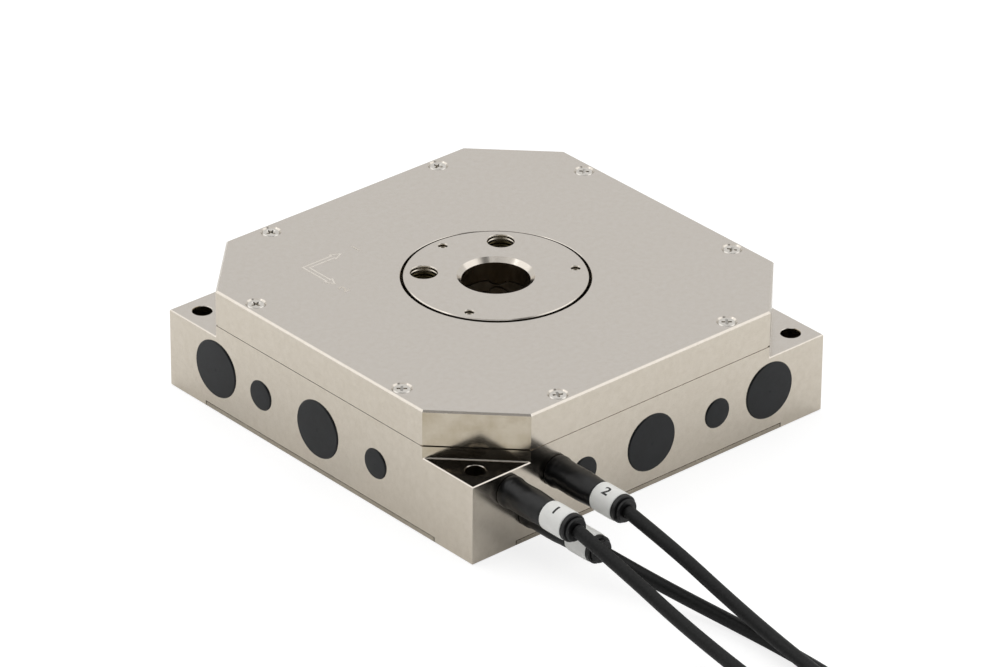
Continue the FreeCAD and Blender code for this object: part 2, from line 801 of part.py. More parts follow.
def upright(w, z0, z1, angle, x, y):
    """A square bar standing at (x, y), turned by the angle."""
    bar = square(w, z0, z1)
    bar.rotate(Vector(0, 0, 0), Z_AXIS, angle)
    bar.translate(Vector(x, y, 0))
    return bar


def clamp_spots():
    r = (flange_d - CLAMP_W) / 2
    step = 360 / CLAMP_SCREWS
    turns = [math.radians((k + 0.5) * step) for k in range(CLAMP_SCREWS)]
    return [(r * math.cos(t), r * math.sin(t)) for t in turns]


def xy_platform():
    block = square(PLATFORM, mech_low, flange_low)
    upright_edges = [e for e in block.Edges if abs(e.Length - (flange_low - mech_low)) < 1e-6]
    block = block.makeFillet(PLATFORM_ROUND, upright_edges)
    block = fused(block, disc(flange_d, flange_low, core_top))
    block = block.cut(disc(core_d + 2 * SLOT, plat_top, core_top))
    hub = disc(hub_d, plat_top - WAVE_DEEP, hub_top)
    block = fused(block, hub.cut(above_wave(hub_top, HEIGHT)))
    block = block.cut([s.common(disc(hub_d, mech_low, hub_top)) for s in lower_slit()])
    block = block.cut(disc(BORE_D, mech_low, hub_top))
    for angle, x, y in z_stack_spots():
        w = Z_STACK_W + 2 * Z_GAP
        block = block.cut(upright(w, mech_low + Z_STACK_FLOOR, core_top, angle, x, y))
    for x, y in ring_screw_spots():
        low = core_low - BOSS_H - BOSS_GAP
        block = block.cut(disc(2 * (BOSS_R + BOSS_GAP), low, core_top, x, y))
    probe = Z_SENSOR_D + 2 * PLUG_GAP
    low = core_low - Z_SENSOR_GAP - Z_SENSOR_L
    block = block.cut(disc(probe, low, core_top, 0, -z_stack_at))
    for x, y in clamp_spots():
        hole = CLAMP_SCREW_D + 2 * THREAD_GAP
        block = block.cut(disc(hole, flange_low, core_top, x, y))
    target = sensor_target()
    return block.cut([target, mirrored(target)])


def z_core():
    """Plate that the three stacks lift, with two bosses."""
    plate = disc(core_d, core_low, core_top)
    for x, y in ring_screw_spots():
        plate = fused(plate, disc(2 * BOSS_R, core_low - BOSS_H, core_top, x, y))
    plate = plate.cut(disc(hub_room_d, core_low - BOSS_H, core_top))
    for x, y in ring_screw_spots():
        hole = RING_SCREW_D + 2 * THREAD_GAP
        plate = plate.cut(disc(hole, core_low - BOSS_H, core_top, x, y))
    return plate


def diaphragm():
    """Thin ring that guides the core, with three pairs of curved slots."""
    plate = disc(flange_d, core_top, ring_low).cut(disc(hub_room_d, core_top, ring_low))
    for x, y in ring_screw_spots():
        hole = RING_SCREW_D + 2 * THREAD_GAP
        plate = plate.cut(disc(hole, core_top, ring_low, x, y))
    for x, y in clamp_spots():
        hole = CLAMP_SCREW_D + 2 * THREAD_GAP
        plate = plate.cut(disc(hole, core_top, ring_low, x, y))
    step = FREE_W / 4
    for turn in range(3):
        for ring, lead in ((RING_D / 2 + step, 0), (RING_D / 2 + 3 * step, 60)):
            inner, outer = 2 * ring - DIAPHRAGM_SLOT, 2 * ring + DIAPHRAGM_SLOT
            slot = Part.makeCylinder(
                outer / 2, DIAPHRAGM_T, Vector(0, 0, core_top), Z_AXIS, 96
            )
            slot = slot.cut(disc(inner, core_top, ring_low))
            slot.rotate(Vector(0, 0, 0), Z_AXIS, 120 * turn + lead - 48)
            plate = plate.cut(slot)
    return plate


def clamp_ring():
    top = ring_low + CLAMP_T
    ring = disc(flange_d, ring_low, top).cut(disc(flange_d - 2 * CLAMP_W, ring_low, top))
    for x, y in clamp_spots():
        ring = ring.cut(disc(CLAMP_SCREW_D + 2 * THREAD_GAP, ring_low, top, x, y))
    return ring


def clamp_screws():
    head_d, head_h = 1.75 * CLAMP_SCREW_D, 0.6 * CLAMP_SCREW_D
    length = CLAMP_T + DIAPHRAGM_T + core_top - flange_low - THREAD_GAP
    screw = socket_screw(CLAMP_SCREW_D, head_d, head_h, length, CLAMP_SCREW_D / 2)
    return [aimed(screw, (x, y, ring_low + CLAMP_T), Z_AXIS) for x, y in clamp_spots()]


def platform_ring():
    """Round platform, a little proud of the cover, that carries the payload."""
    r, bore = RING_D / 2, BORE_D / 2
    c, b = RING_CHAMFER, BORE_CHAMFER
    outline = [
        (bore, ring_low),
        (r - c, ring_low),
        (r, ring_low + c),
        (r, ring_top - c),
        (r - c, ring_top),
        (bore + b, ring_top),
        (bore, ring_top - b),
    ]
    ring = revolved(outline, (0, 0, 0), Z_AXIS)
    ceiling = hub_top + EDM_SLOT
    ring = ring.cut(disc(hub_room_d, ring_low, ceiling).cut(above_wave(ceiling, ring_top)))
    for angle in (90, 210, 330):
        a = math.radians(angle)
        x, y = tap_r * math.cos(a), tap_r * math.sin(a)
        ring = ring.cut(disc(TAP_D, ring_top - TAP_DEPTH, ring_top, x, y))
        ring = ring.cut(mouth(TAP_D, (x, y, ring_top)))
    for x, y in ring_screw_spots():
        floor = ring_top - RING_HEAD_TOP - RING_HEAD_H
        ring = ring.cut(disc(RING_BORE_D, floor, ring_top, x, y))
        ring = ring.cut(disc(RING_SCREW_D + 2 * THREAD_GAP, ring_low, ring_top, x, y))
        ring = ring.cut(mouth(RING_BORE_D, (x, y, ring_top)))
    return ring


def ring_screws():
    seat_z = ring_top - RING_HEAD_TOP - RING_HEAD_H
    screw = socket_screw(RING_SCREW_D, RING_HEAD_D, RING_HEAD_H, RING_SCREW_L, 2.0)
    return [aimed(screw, (x, y, seat_z), Z_AXIS) for x, y in ring_screw_spots()]


def z_stacks():
    low, high = mech_low + Z_STACK_FLOOR, core_low - Z_TIP_H
    return [upright(Z_STACK_W, low, high, a, x, y) for a, x, y in z_stack_spots()]


def z_tips():
    """Round-nosed tips between the upright stacks and the core."""
    tips = []
    r = Z_STACK_W / 2 - Z_GAP / 2
    for _, x, y in z_stack_spots():
        h = Z_TIP_H
        outline = [(0, 0), (r, 0), (r, 0.4 * h), (0.75 * r, 0.75 * h), (0.4 * r, h), (0, h)]
        tips.append(revolved(outline, (x, y, core_low - h), Z_AXIS))
    return tips


def z_probe():
    top = core_low - Z_SENSOR_GAP
    return disc(Z_SENSOR_D, top - Z_SENSOR_L, top, 0, -z_stack_at)


# Cable ends, boots, cables and coils


def terminal_board():
    """Board with three solder lugs for each cable, on two standoffs from the wall."""
    x0 = -wall_in + SLOT
    x1 = x0 + BOARD_T
    y1 = -chamber_end - BOARD_GAP - 1.0
    y0 = y1 - BOARD_W
    z0 = mid_z - BOARD_H / 2
    board = box(x0, y0, z0, x1, y1, z0 + BOARD_H)
    for y in (y0 + BOARD_W * 0.25, y1 - BOARD_W * 0.25):
        board = fused(board, rod(STANDOFF_D, (-wall_in, y, mid_z), (x0, y, mid_z)))
    for row in range(3):
        for column in range(3):
            y = y0 + BOARD_W * (column + 0.5) / 3
            z = z0 + BOARD_H * (row + 0.5) / 3
            board = fused(board, rod(LUG_D, (x1, y, z), (x1 + LUG_H, y, z)))
    return board


def boot(x, z, length):
    """Black boot with a lip on the face and a shank through the wall."""
    outline = [
        (0, -WALL - SHANK_OUT),
        (SHANK_D / 2, -WALL - SHANK_OUT),
        (SHANK_D / 2, 0),
        (BOOT_LIP_D / 2 - EDGE, 0),
        (BOOT_LIP_D / 2, EDGE),
        (BOOT_LIP_D / 2, BOOT_LIP_T - EDGE),
        (BOOT_D / 2, BOOT_LIP_T),
        (BOOT_D / 2, length),
        (0, length),
    ]
    return revolved(outline, (x, -half, z), -Y_AXIS)


def marker(x, z, length):
    y = -half - length
    return rod(MARKER_D, (x, y, z), (x, y - MARKER_L, z))


def collar(x, z, length):
    """Black collar and nose ring at the cable's end of the boot."""
    r, n = COLLAR_D / 2, NOSE_D / 2
    c = EDGE / 2
    end = COLLAR_L + NOSE_L
    outline = [
        (0, 0),
        (r, 0),
        (r, COLLAR_L - c),
        (r - c, COLLAR_L),
        (n, COLLAR_L),
        (n, end - c),
        (n - c, end),
        (0, end),
    ]
    return revolved(outline, (x, -half - length - MARKER_L, z), -Y_AXIS)


# Control points of each cable from its collar to the coil
ROUTES = {
    "x": [
        (-40.0, exit_y["x"], 14.2),
        (-40.0, -87.0, 10.8),
        (-40.1, -102.0, 7.0),
        (-40.3, -118.0, 4.3),
        (-41.0, -137.0, 2.6),
        (-42.8, -160.0, 2.3),
        (-45.8, -184.0, 4.9),
        (-48.4, -208.0, 8.6),
        (entry_x, -232.0, layer_z("x", 0)),
    ],
    "y": [
        (-27.0, exit_y["y"], 14.2),
        (-27.0, -87.0, 11.5),
        (-26.9, -101.0, 8.2),
        (-27.1, -116.0, 5.4),
        (-28.6, -133.0, 4.3),
        (-32.6, -156.0, 3.9),
        (-39.0, -181.0, 8.2),
        (-47.2, -206.0, 14.7),
        (entry_x, -232.0, layer_z("y", 0)),
    ],
    "z": [
        (-33.8, exit_y["z"], 7.1),
        (-32.0, -82.5, 5.6),
        (-28.6, -93.0, 3.1),
        (-26.0, -105.0, 1.6),
        (-25.2, -118.0, 1.55),
        (-25.3, -136.0, 1.6),
        (-30.5, -160.0, 1.6),
        (-40.5, -184.0, 1.9),
        (-47.6, -208.0, 2.4),
        (entry_x, -232.0, layer_z("z", 0)),
    ],
}

# Angle on the coil where each cable leaves it, and its way down to the connector:
# distance along the tangent, sideways shift and height of each point
EXIT_ANGLES = {"z": 180.0, "x": 212.0, "y": 244.0}
TAILS = {
    "z": [(0, 0, None), (10, 0.1, 5.0), (20, 0, 4.7)],
    "x": [(0, 0, None), (10, 0.1, 10.3), (20, 0, 6.4), (29, 0, 4.7)],
    "y": [(0, 0, None), (11, 0.1, 15.6), (22, 0, 11.2), (33, 0, 6.6), (42, 0, 4.7)],
}


def tail_points(cable):
    """Points of the stretch between the coil and the connector."""
    a = math.radians(EXIT_ANGLES[cable])
    start = Vector(*COIL_AT, 0) + Vector(math.cos(a), math.sin(a), 0) * last_column
    along = Vector(-math.sin(a), math.cos(a), 0)
    across = Vector(math.cos(a), math.sin(a), 0)
    top = layer_z(cable, COIL_LAYERS - 1)
    rise = [start + along * t + across * s + Z_AXIS * (top if z is None else z)
            for t, s, z in TAILS[cable]]
    return rise, along


def tube(points, name):
    """Straight runs joined by tangent arcs, each arc as large as its runs allow."""
    spots = [Vector(*p) for p in points]
    edges = []
    start = spots[0]
    smallest = None
    for before, here, after in zip(spots, spots[1:], spots[2:]):
        u, v = (before - here).normalize(), (after - here).normalize()
        turn = math.pi - u.getAngle(v)
        cut = 0.45 * min((before - here).Length, (after - here).Length)
        radius = cut / math.tan(turn / 2)
        smallest = radius if smallest is None else min(smallest, radius)
        a, b = here + u * cut, here + v * cut
        centre = here + (u + v).normalize() * (radius / math.cos(turn / 2))
        middle = centre + (here - centre).normalize() * radius
        edges += [Part.LineSegment(start, a).toShape(), Part.Arc(a, middle, b).toShape()]
        start = b
    edges.append(Part.LineSegment(start, spots[-1]).toShape())
    path = Part.Wire(edges)
    ring = Part.Wire([Part.makeCircle(CABLE_D / 2, spots[0], spots[1] - spots[0])])
    solid = path.makePipeShell([ring], True, False)
    section = math.pi * CABLE_D**2 / 4
    share = solid.Volume / (section * path.Length)
    print(f"{name}: length {path.Length:.1f}, least radius {smallest:.1f}, volume {share:.4f}")
    return solid


def cable(name):
    rise, _ = tail_points(name)
    return [tube(ROUTES[name], f"{name} cable"), tube([tuple(p) for p in rise], f"{name} tail")]


def coil(name):
    z0 = TIE_T + COIL_ORDER.index(name) * coil_h
    x, y = COIL_AT
    return disc(2 * coil_out, z0, z0 + coil_h, x, y).cut(disc(2 * coil_in, z0, z0 + coil_h, x, y))


def coil_ties():
    """Straps round the bundle of turns; the coil lies on them."""
    low, high = TIE_T, TIE_T + len(COIL_ORDER) * coil_h
    ties = []
    for angle in TIE_ANGLES:
        w = TIE_W / 2
        inner, outer = math.sqrt(coil_in**2 - w**2) - TIE_GAP, coil_out + TIE_GAP
        band = box(inner - TIE_T, -w, 0, outer + TIE_T, w, high + TIE_GAP + TIE_T)
        band = band.makeFillet(TIE_T, [e for e in band.Edges if abs(e.Length - TIE_W) < 1e-6])
        band = band.cut(box(inner, -w, low, outer, w, high + TIE_GAP))
        band.rotate(Vector(0, 0, 0), Z_AXIS, angle)
        band.translate(Vector(*COIL_AT, 0))
        ties.append(band)
    return ties


def connector(name):
    """Round push-pull connector at a cable's end: relief, nut, sleeve with grips and nose."""
    rise, along = tail_points(name)
    a = PLUG_RELIEF_L
    b = a + PLUG_NUT_L
    c = b + PLUG_SLEEVE_L
    d = c + PLUG_NOSE_L
    relief, nut, sleeve, nose = (
        w / 2 for w in (PLUG_RELIEF_D, PLUG_NUT_D, PLUG_BODY_D, PLUG_NOSE_D)
    )
    e = EDGE
    outline = [(0, 0), (CABLE_D / 2 + e, 0), (relief, a * 0.6), (relief, a), (nut - e, a)]
    outline += [(nut, a + e), (nut, b), (sleeve - e, b), (sleeve, b + e), (sleeve, c - e)]
    outline += [(sleeve - e, c), (nose, c), (nose, d - e), (nose - e, d), (0, d)]
    shape = revolved(outline, tuple(rise[-1]), along)
    end = rise[-1] + along * d
    socket = rod(2 * nose - 4 * e, tuple(end - along * (PLUG_NOSE_L / 2)), tuple(end))
    return shape.cut(socket)


def main():
    parts = {
        "body_block": [body()],
        "base_plate": [base_plate()],
        "top_cover": [cover()],
        "cover_screws": cover_screws(),
        "base_screws": base_screws(),
        "large_side_plugs": [side_plug(*p) for p in side_plugs() if p[0]],
        "small_side_plugs": [side_plug(*p) for p in side_plugs() if not p[0]],
        "xy_platform": [xy_platform()],
        "z_core": [z_core()],
        "z_diaphragm": [diaphragm()],
        "diaphragm_clamp_ring": [clamp_ring()],
        "clamp_ring_screws": clamp_screws(),
        "platform_ring": [platform_ring()],
        "platform_screws": ring_screws(),
        "z_piezo_stacks": z_stacks(),
        "z_stack_tips": z_tips(),
        "z_sensor_probe": [z_probe()],
        "terminal_board": [terminal_board()],
        "cable_boots": [boot(*place) for place in EXITS.values()],
        "cable_markers": [marker(*place) for place in EXITS.values()],
        "cable_collars": [collar(*place) for place in EXITS.values()],
        "coil_ties": coil_ties(),
    }
    drive = {
        "lever": [lever()],
        "lever_pivot": [lever_pivot()],
        "drive_stage": [drive_stage()],
        "drive_link": [drive_link()],
        "link_screw": [link_screw()],
        "preload_screw": [preload_screw()],
        "guide_leaves": guide_leaves(),
        "coupling_leaves": coupling_leaves(),
        "piezo_stack": [stack()],
        "stack_caps": stack_caps(),
        "sensor_probe": [sensor_probe()],
        "sensor_target": [sensor_target()],
    }
    for name, solids in drive.items():
        parts[f"x_{name}"] = solids
        parts[f"y_{name}"] = [mirrored(s) for s in solids]
    for name in EXITS:
        parts[f"{name}_cable"] = cable(name)
        parts[f"{name}_cable_coil"] = [coil(name)]
        parts[f"{name}_connector"] = [connector(name)]
    os.makedirs("parts", exist_ok=True)
    for node, solids in parts.items():
        bodies = [s for shape in solids for s in shape.Solids]
        shape = bodies[0] if len(bodies) == 1 else Part.makeCompound(bodies)
        shape.exportStep(f"parts/{node}.step")
        ok = all(s.isValid() for s in bodies) and len(bodies) == len(solids)
        if not ok:
            print(node, "has", len(bodies), "solids for", len(solids), "shapes or an invalid one")


main()
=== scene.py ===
"""Finishes, cables, engraved marks and studio for the piezo nanopositioning stage. Lengths are in metres."""

import json
import math

import bmesh
import bpy
from mathutils import Matrix, Vector


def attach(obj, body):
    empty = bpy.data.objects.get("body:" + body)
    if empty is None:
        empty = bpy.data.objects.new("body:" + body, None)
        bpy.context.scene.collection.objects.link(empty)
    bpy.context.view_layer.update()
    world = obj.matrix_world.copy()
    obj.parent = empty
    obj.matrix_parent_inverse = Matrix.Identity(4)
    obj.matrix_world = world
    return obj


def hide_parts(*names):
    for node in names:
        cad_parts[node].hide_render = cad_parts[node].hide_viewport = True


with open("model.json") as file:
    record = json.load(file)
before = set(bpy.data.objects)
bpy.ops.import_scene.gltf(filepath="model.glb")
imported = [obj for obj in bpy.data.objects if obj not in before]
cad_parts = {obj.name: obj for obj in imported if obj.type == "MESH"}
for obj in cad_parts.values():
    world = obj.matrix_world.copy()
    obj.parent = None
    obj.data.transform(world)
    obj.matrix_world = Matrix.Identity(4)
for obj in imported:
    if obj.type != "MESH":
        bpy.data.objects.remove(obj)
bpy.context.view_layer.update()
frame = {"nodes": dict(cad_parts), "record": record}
nodes = frame["nodes"]

MM = 0.001
BODY = "stage_body"

# Camera, fitted to the photograph
AZIMUTH = math.radians(-41.436)
ELEVATION = math.radians(29.09)
ROLL = math.radians(0.45)
DISTANCE = 1.351709
LENS = 223.16
SENSOR = 36.0
TARGET = Vector((7.667, 7.221, 10.0)) * MM

# Studio
DARK_ELEVATION = math.radians(30)
WALL_LEVEL = 0.84  # brightness of the studio all round
DIM_LEVEL = 0.27  # and nearer to its dark side
PAPER_GLOW_SEEN = 0.80  # of the floor as the camera sees it
PAPER_GLOW_MIRRORED = 0.12  # and as the object mirrors it
PAPER_SEEN = 0.35  # how pale the floor's own grey is to the camera
PAPER = 0.95  # and to the light that it throws on the object
FLOOR_SIZE = 6.0
FLOOR_DROP = 0.02 * MM  # keeps the floor clear of the base's underside
# Watts, side and direction from the object of each soft box
LAMPS = {
    "left_soft_box": (2.1, 1.1, (-0.486, 0.655, 0.58)),
    "right_soft_box": (2.1, 1.1, (0.58, -0.486, 0.655)),
    "overhead_soft_box": (6.5, 1.8, (-0.10, 0.14, 1.0)),
}
LAMP_DISTANCE = 1.5

# Height of the top face, and how far from the middle the ring's small holes begin and end
TOP = 30.0 * MM
RING_HOLES_FROM = 8.9 * MM
RING_HOLES_TO = 19.4 * MM
BORES_SHADE_FROM = 29.2 * MM  # height where the painted shade on their walls begins
BORES_SHADE_TO = 28.6 * MM

# Fine relief: the grain of all surfaces, and the turned rings, which are coarser than real so that they show
GRAIN_DEEP = 0.02 * MM
TURNED_PITCH = 0.85 * MM
TURNED_DEEP = 0.13 * MM

# Boots and markers, repeated from the part's source: exit x and z on the -Y face, and the boot's length
FACE_Y = -50.0 * MM
BOOTS = {
    "x": (-40.0 * MM, 14.2 * MM, 12.7 * MM),
    "y": (-27.0 * MM, 14.2 * MM, 13.8 * MM),
    "z": (-33.8 * MM, 7.1 * MM, 13.8 * MM),
}
SHANK_R = 2.0 * MM
SHANK_L = 6.8 * MM
MARKER_R = 3.25 * MM
FOOT_R = 3.55 * MM  # where a boot's rolled foot meets the face, just inside the source's lip

# Printed and etched marks
MARKER_NUMERALS = {"x": "1", "y": "2", "z": "3"}
NUMERAL_TURN = math.radians(23)  # from the top, towards the -X side
NUMERAL_AT = 3.2 * MM  # along the marker
NUMERAL_BOLD = 0.026  # share of a numeral's size by which its strokes are widened
SLICE = 0.3 * MM  # width of the strips that a numeral bends in
SLICES = 6  # on each side of its middle
PRINT_LIFT = 0.012 * MM  # marks stand this far off their surface

# Cables, coil and ties, repeated from the part's source
CABLE_D = 3.0 * MM
COIL_AT = Vector((-24.0, -232.0, 0.0)) * MM
COIL_R = 18.0 * MM
COIL_COLUMNS = 6
COIL_LAYERS = 6  # two of each cable
COIL_ORDER = ("z", "x", "y")
TIE_T = 1.0 * MM
TIE_W = 5.0 * MM
TIE_GAP = 0.3 * MM
TIE_ANGLES = (30.0, 100.0, 315.0)

# Windings and straps
TURN_STEP = math.radians(15)  # from one point of a turn to the next
ENTRY_ANGLE = math.pi  # where each cable meets the coil
TURN_SLACK = 0.65 * MM  # the outermost turn lies this much further in where the ties go
BAND_BEND_R = 2.6 * MM
TEETH = 23
TOOTH_STEP = 0.6 * MM

# Connectors, which are modelled along +X from the cable's end
LENGTHWISE = Vector((1, 0, 0))
SHELL_SIDES = 48
PIN_CIRCLE_R = 1.5 * MM
PINS = 6


# Materials


def linear(code):
    """Linear colour of an sRGB hex value such as D1CAC2."""
    parts = [int(code[k : k + 2], 16) / 255 for k in (0, 2, 4)]
    return [p / 12.92 if p <= 0.04045 else ((p + 0.055) / 1.055) ** 2.4 for p in parts] + [1.0]


def add(tree, kind, inputs=None, **settings):
    """A shader node with its settings. Each input is a socket to link, a hex colour or a plain value."""
    node = tree.nodes.new(kind)
    for key, value in settings.items():
        setattr(node, key, value)
    for key, value in (inputs or {}).items():
        if isinstance(value, bpy.types.NodeSocket):
            tree.links.new(value, node.inputs[key])
        elif isinstance(value, str):
            node.inputs[key].default_value = linear(value)
        else:
            node.inputs[key].default_value = value
    return node


def new_material(name):
    """An empty material and its node tree."""
    material = bpy.data.materials.new(name)
    material.use_nodes = True
    material.node_tree.nodes.clear()
    return material, material.node_tree


def per_metre(millimetres):
    """Noise scale whose features are about this long."""
    return 1 / (millimetres * MM)


def surface(
    tree, place, colour, metallic, roughness, spread, grain_mm, bump, ior=None, streak=(1, 1, 1), relief=None
):
    """The shader over a colour, with a fine grain that breaks up the gloss and the relief."""
    drawn = add(tree, "ShaderNodeMapping", {"Vector": place, "Scale": streak})
    grain = add(
        tree,
        "ShaderNodeTexNoise",
        {"Vector": drawn.outputs[0], "Scale": per_metre(grain_mm), "Detail": 3.0, "Roughness": 0.55},
    ).outputs["Fac"]
    low, high = roughness - spread, roughness + spread
    gloss = add(
        tree,
        "ShaderNodeMapRange",
        {"Value": grain, "From Min": 0.3, "From Max": 0.7, "To Min": low, "To Max": high},
    )
    shaped = {"Height": grain, "Strength": bump, "Distance": GRAIN_DEEP}
    if relief:
        shaped["Normal"] = relief
    normal = add(tree, "ShaderNodeBump", shaped).outputs[0]
    inputs = {"Base Color": colour, "Metallic": metallic, "Roughness": gloss.outputs[0], "Normal": normal}
    if ior:
        inputs["IOR"] = ior
    shader = add(tree, "ShaderNodeBsdfPrincipled", inputs)
    add(tree, "ShaderNodeOutputMaterial", {"Surface": shader.outputs[0]})


def mottled(name, pale, dark, metallic, roughness, spread, patch_mm, grain_mm, bump, ior=None):
    """A surface whose colour drifts in soft patches and whose fine grain breaks up the gloss."""
    material, tree = new_material(name)
    place = add(tree, "ShaderNodeTexCoord").outputs["Object"]
    patches = add(
        tree,
        "ShaderNodeTexNoise",
        {"Vector": place, "Scale": per_metre(patch_mm), "Detail": 4.0, "Roughness": 0.6},
    )
    share = add(
        tree,
        "ShaderNodeMapRange",
        {"Value": patches.outputs["Fac"], "From Min": 0.36, "From Max": 0.68},
    )
    colour = add(
        tree,
        "ShaderNodeMix",
        {"Factor": share.outputs[0], "A": pale, "B": dark},
        data_type="RGBA",
    )
    surface(tree, place, colour.outputs["Result"], metallic, roughness, spread, grain_mm, bump, ior)
    return material


def bored_walls(tree, place, colour):
    """Walls of the ring's holes: turned rings near the mouth, and a painted dark olive shade further down.

    The real rings are finer. They are drawn as far apart as they need to be to show.
    """
    height = add(tree, "ShaderNodeSeparateXYZ", {0: place}).outputs["Z"]
    flat = add(tree, "ShaderNodeVectorMath", {0: place, 1: (1, 1, 0)}, operation="MULTIPLY")
    out = add(tree, "ShaderNodeVectorMath", {0: flat.outputs[0]}, operation="LENGTH").outputs["Value"]
    beyond = add(
        tree,
        "ShaderNodeMapRange",
        {"Value": out, "From Min": RING_HOLES_FROM, "From Max": RING_HOLES_FROM + 0.1 * MM},
    )
    within = add(
        tree,
        "ShaderNodeMapRange",
        {"Value": out, "From Min": RING_HOLES_TO, "From Max": RING_HOLES_TO - 0.1 * MM},
    )
    holes = add(
        tree,
        "ShaderNodeMath",
        {0: beyond.outputs[0], 1: within.outputs[0]},
        operation="MULTIPLY",
    ).outputs[0]
    deep = add(
        tree,
        "ShaderNodeMapRange",
        {"Value": height, "From Min": BORES_SHADE_FROM, "From Max": BORES_SHADE_TO},
    )
    dark = add(tree, "ShaderNodeMath", {0: deep.outputs[0], 1: holes}, operation="MULTIPLY")
    # Painted shade: below their mouths the walls of the small holes turn dark olive
    walls = add(
        tree,
        "ShaderNodeMix",
        {"Factor": dark.outputs[0], "A": colour, "B": "443D2A"},
        data_type="RGBA",
    )
    angle = add(tree, "ShaderNodeMath", {0: height, 1: 2 * math.pi / TURNED_PITCH}, operation="MULTIPLY")
    wave = add(tree, "ShaderNodeMath", {0: angle.outputs[0]}, operation="SINE")
    below = add(tree, "ShaderNodeMapRange", {"Value": height, "From Min": TOP + 0.1 * MM, "From Max": TOP})
    rings = add(tree, "ShaderNodeMath", {0: below.outputs[0], 1: holes}, operation="MULTIPLY")
    rings = add(tree, "ShaderNodeMath", {0: rings.outputs[0], 1: wave.outputs[0]}, operation="MULTIPLY")
    relief = add(
        tree,
        "ShaderNodeBump",
        {"Height": rings.outputs[0], "Strength": 1.0, "Distance": TURNED_DEEP},
    )
    return walls.outputs["Result"], relief.outputs[0]


def nickel_plate(name, bored=False):
    """Plating that is even on the lapped top, painted a warmer tone on the sides as painted light, and
    browner on the cut corners with painted shade.
    """
    material, tree = new_material(name)
    where = add(tree, "ShaderNodeTexCoord").outputs
    place = where["Object"]
    facing = add(tree, "ShaderNodeSeparateXYZ", {0: where["Normal"]}).outputs
    upward = add(tree, "ShaderNodeMath", {0: facing["Z"]}, operation="ABSOLUTE").outputs[0]
    cornerwise = add(tree, "ShaderNodeMath", {0: facing["X"], 1: facing["Y"]}, operation="MULTIPLY")
    cornerwise = add(tree, "ShaderNodeMath", {0: cornerwise.outputs[0]}, operation="ABSOLUTE")
    # Painted light: the sides get a warmer, slightly paler tone than the top, chosen by the direction each
    # face looks
    plate = add(
        tree,
        "ShaderNodeMix",
        {"Factor": upward, "A": "D5CDC0", "B": "D1CBC4"},
        data_type="RGBA",
    )

    # Cut corners: brown mottling, made darker than the sides as painted shade
    cloud = add(
        tree,
        "ShaderNodeTexNoise",
        {"Vector": place, "Scale": per_metre(6.0), "Detail": 4.0, "Roughness": 0.6},
    )
    cloud = add(
        tree,
        "ShaderNodeMapRange",
        {"Value": cloud.outputs["Fac"], "From Min": 0.36, "From Max": 0.64},
    )
    stain_and_shade_tone = add(
        tree,
        "ShaderNodeMix",
        {"Factor": cloud.outputs[0], "A": "C2B9A8", "B": "ACA08A"},
        data_type="RGBA",
    )
    # Painted shade and brown mottling, laid on the faces that look out across the corners
    stain_and_shade = add(
        tree,
        "ShaderNodeMapRange",
        {"Value": cornerwise.outputs[0], "From Min": 0.30, "From Max": 0.48, "To Max": 0.9},
    )
    plate = add(
        tree,
        "ShaderNodeMix",
        {"Factor": stain_and_shade.outputs[0], "A": plate.outputs["Result"], "B": stain_and_shade_tone.outputs["Result"]},
        data_type="RGBA",
    )

    fleck = add(
        tree,
        "ShaderNodeTexNoise",
        {"Vector": place, "Scale": per_metre(1.3), "Detail": 5.0, "Roughness": 0.7},
    )
    fleck = add(
        tree,
        "ShaderNodeMapRange",
        {"Value": fleck.outputs["Fac"], "From Min": 0.34, "From Max": 0.70},
    )
    worn = add(
        tree,
        "ShaderNodeMapRange",
        {"Value": upward, "From Min": 0.5, "From Max": 1.0, "To Min": 0.30, "To Max": 0.15},
    )
    worn = add(tree, "ShaderNodeMath", {0: fleck.outputs[0], 1: worn.outputs[0]}, operation="MULTIPLY")
    plate = add(
        tree,
        "ShaderNodeMix",
        {"Factor": worn.outputs[0], "A": plate.outputs["Result"], "B": "B7AC9A"},
        data_type="RGBA",
    )
    colour, relief = plate.outputs["Result"], None
    if bored:
        colour, relief = bored_walls(tree, place, colour)
    surface(
        tree,
        place,
        colour,
        metallic=1.0,
        roughness=0.17,
        spread=0.03,
        grain_mm=0.45,
        bump=0.04,
        streak=(1, 1, 4),
        relief=relief,
    )
    return material


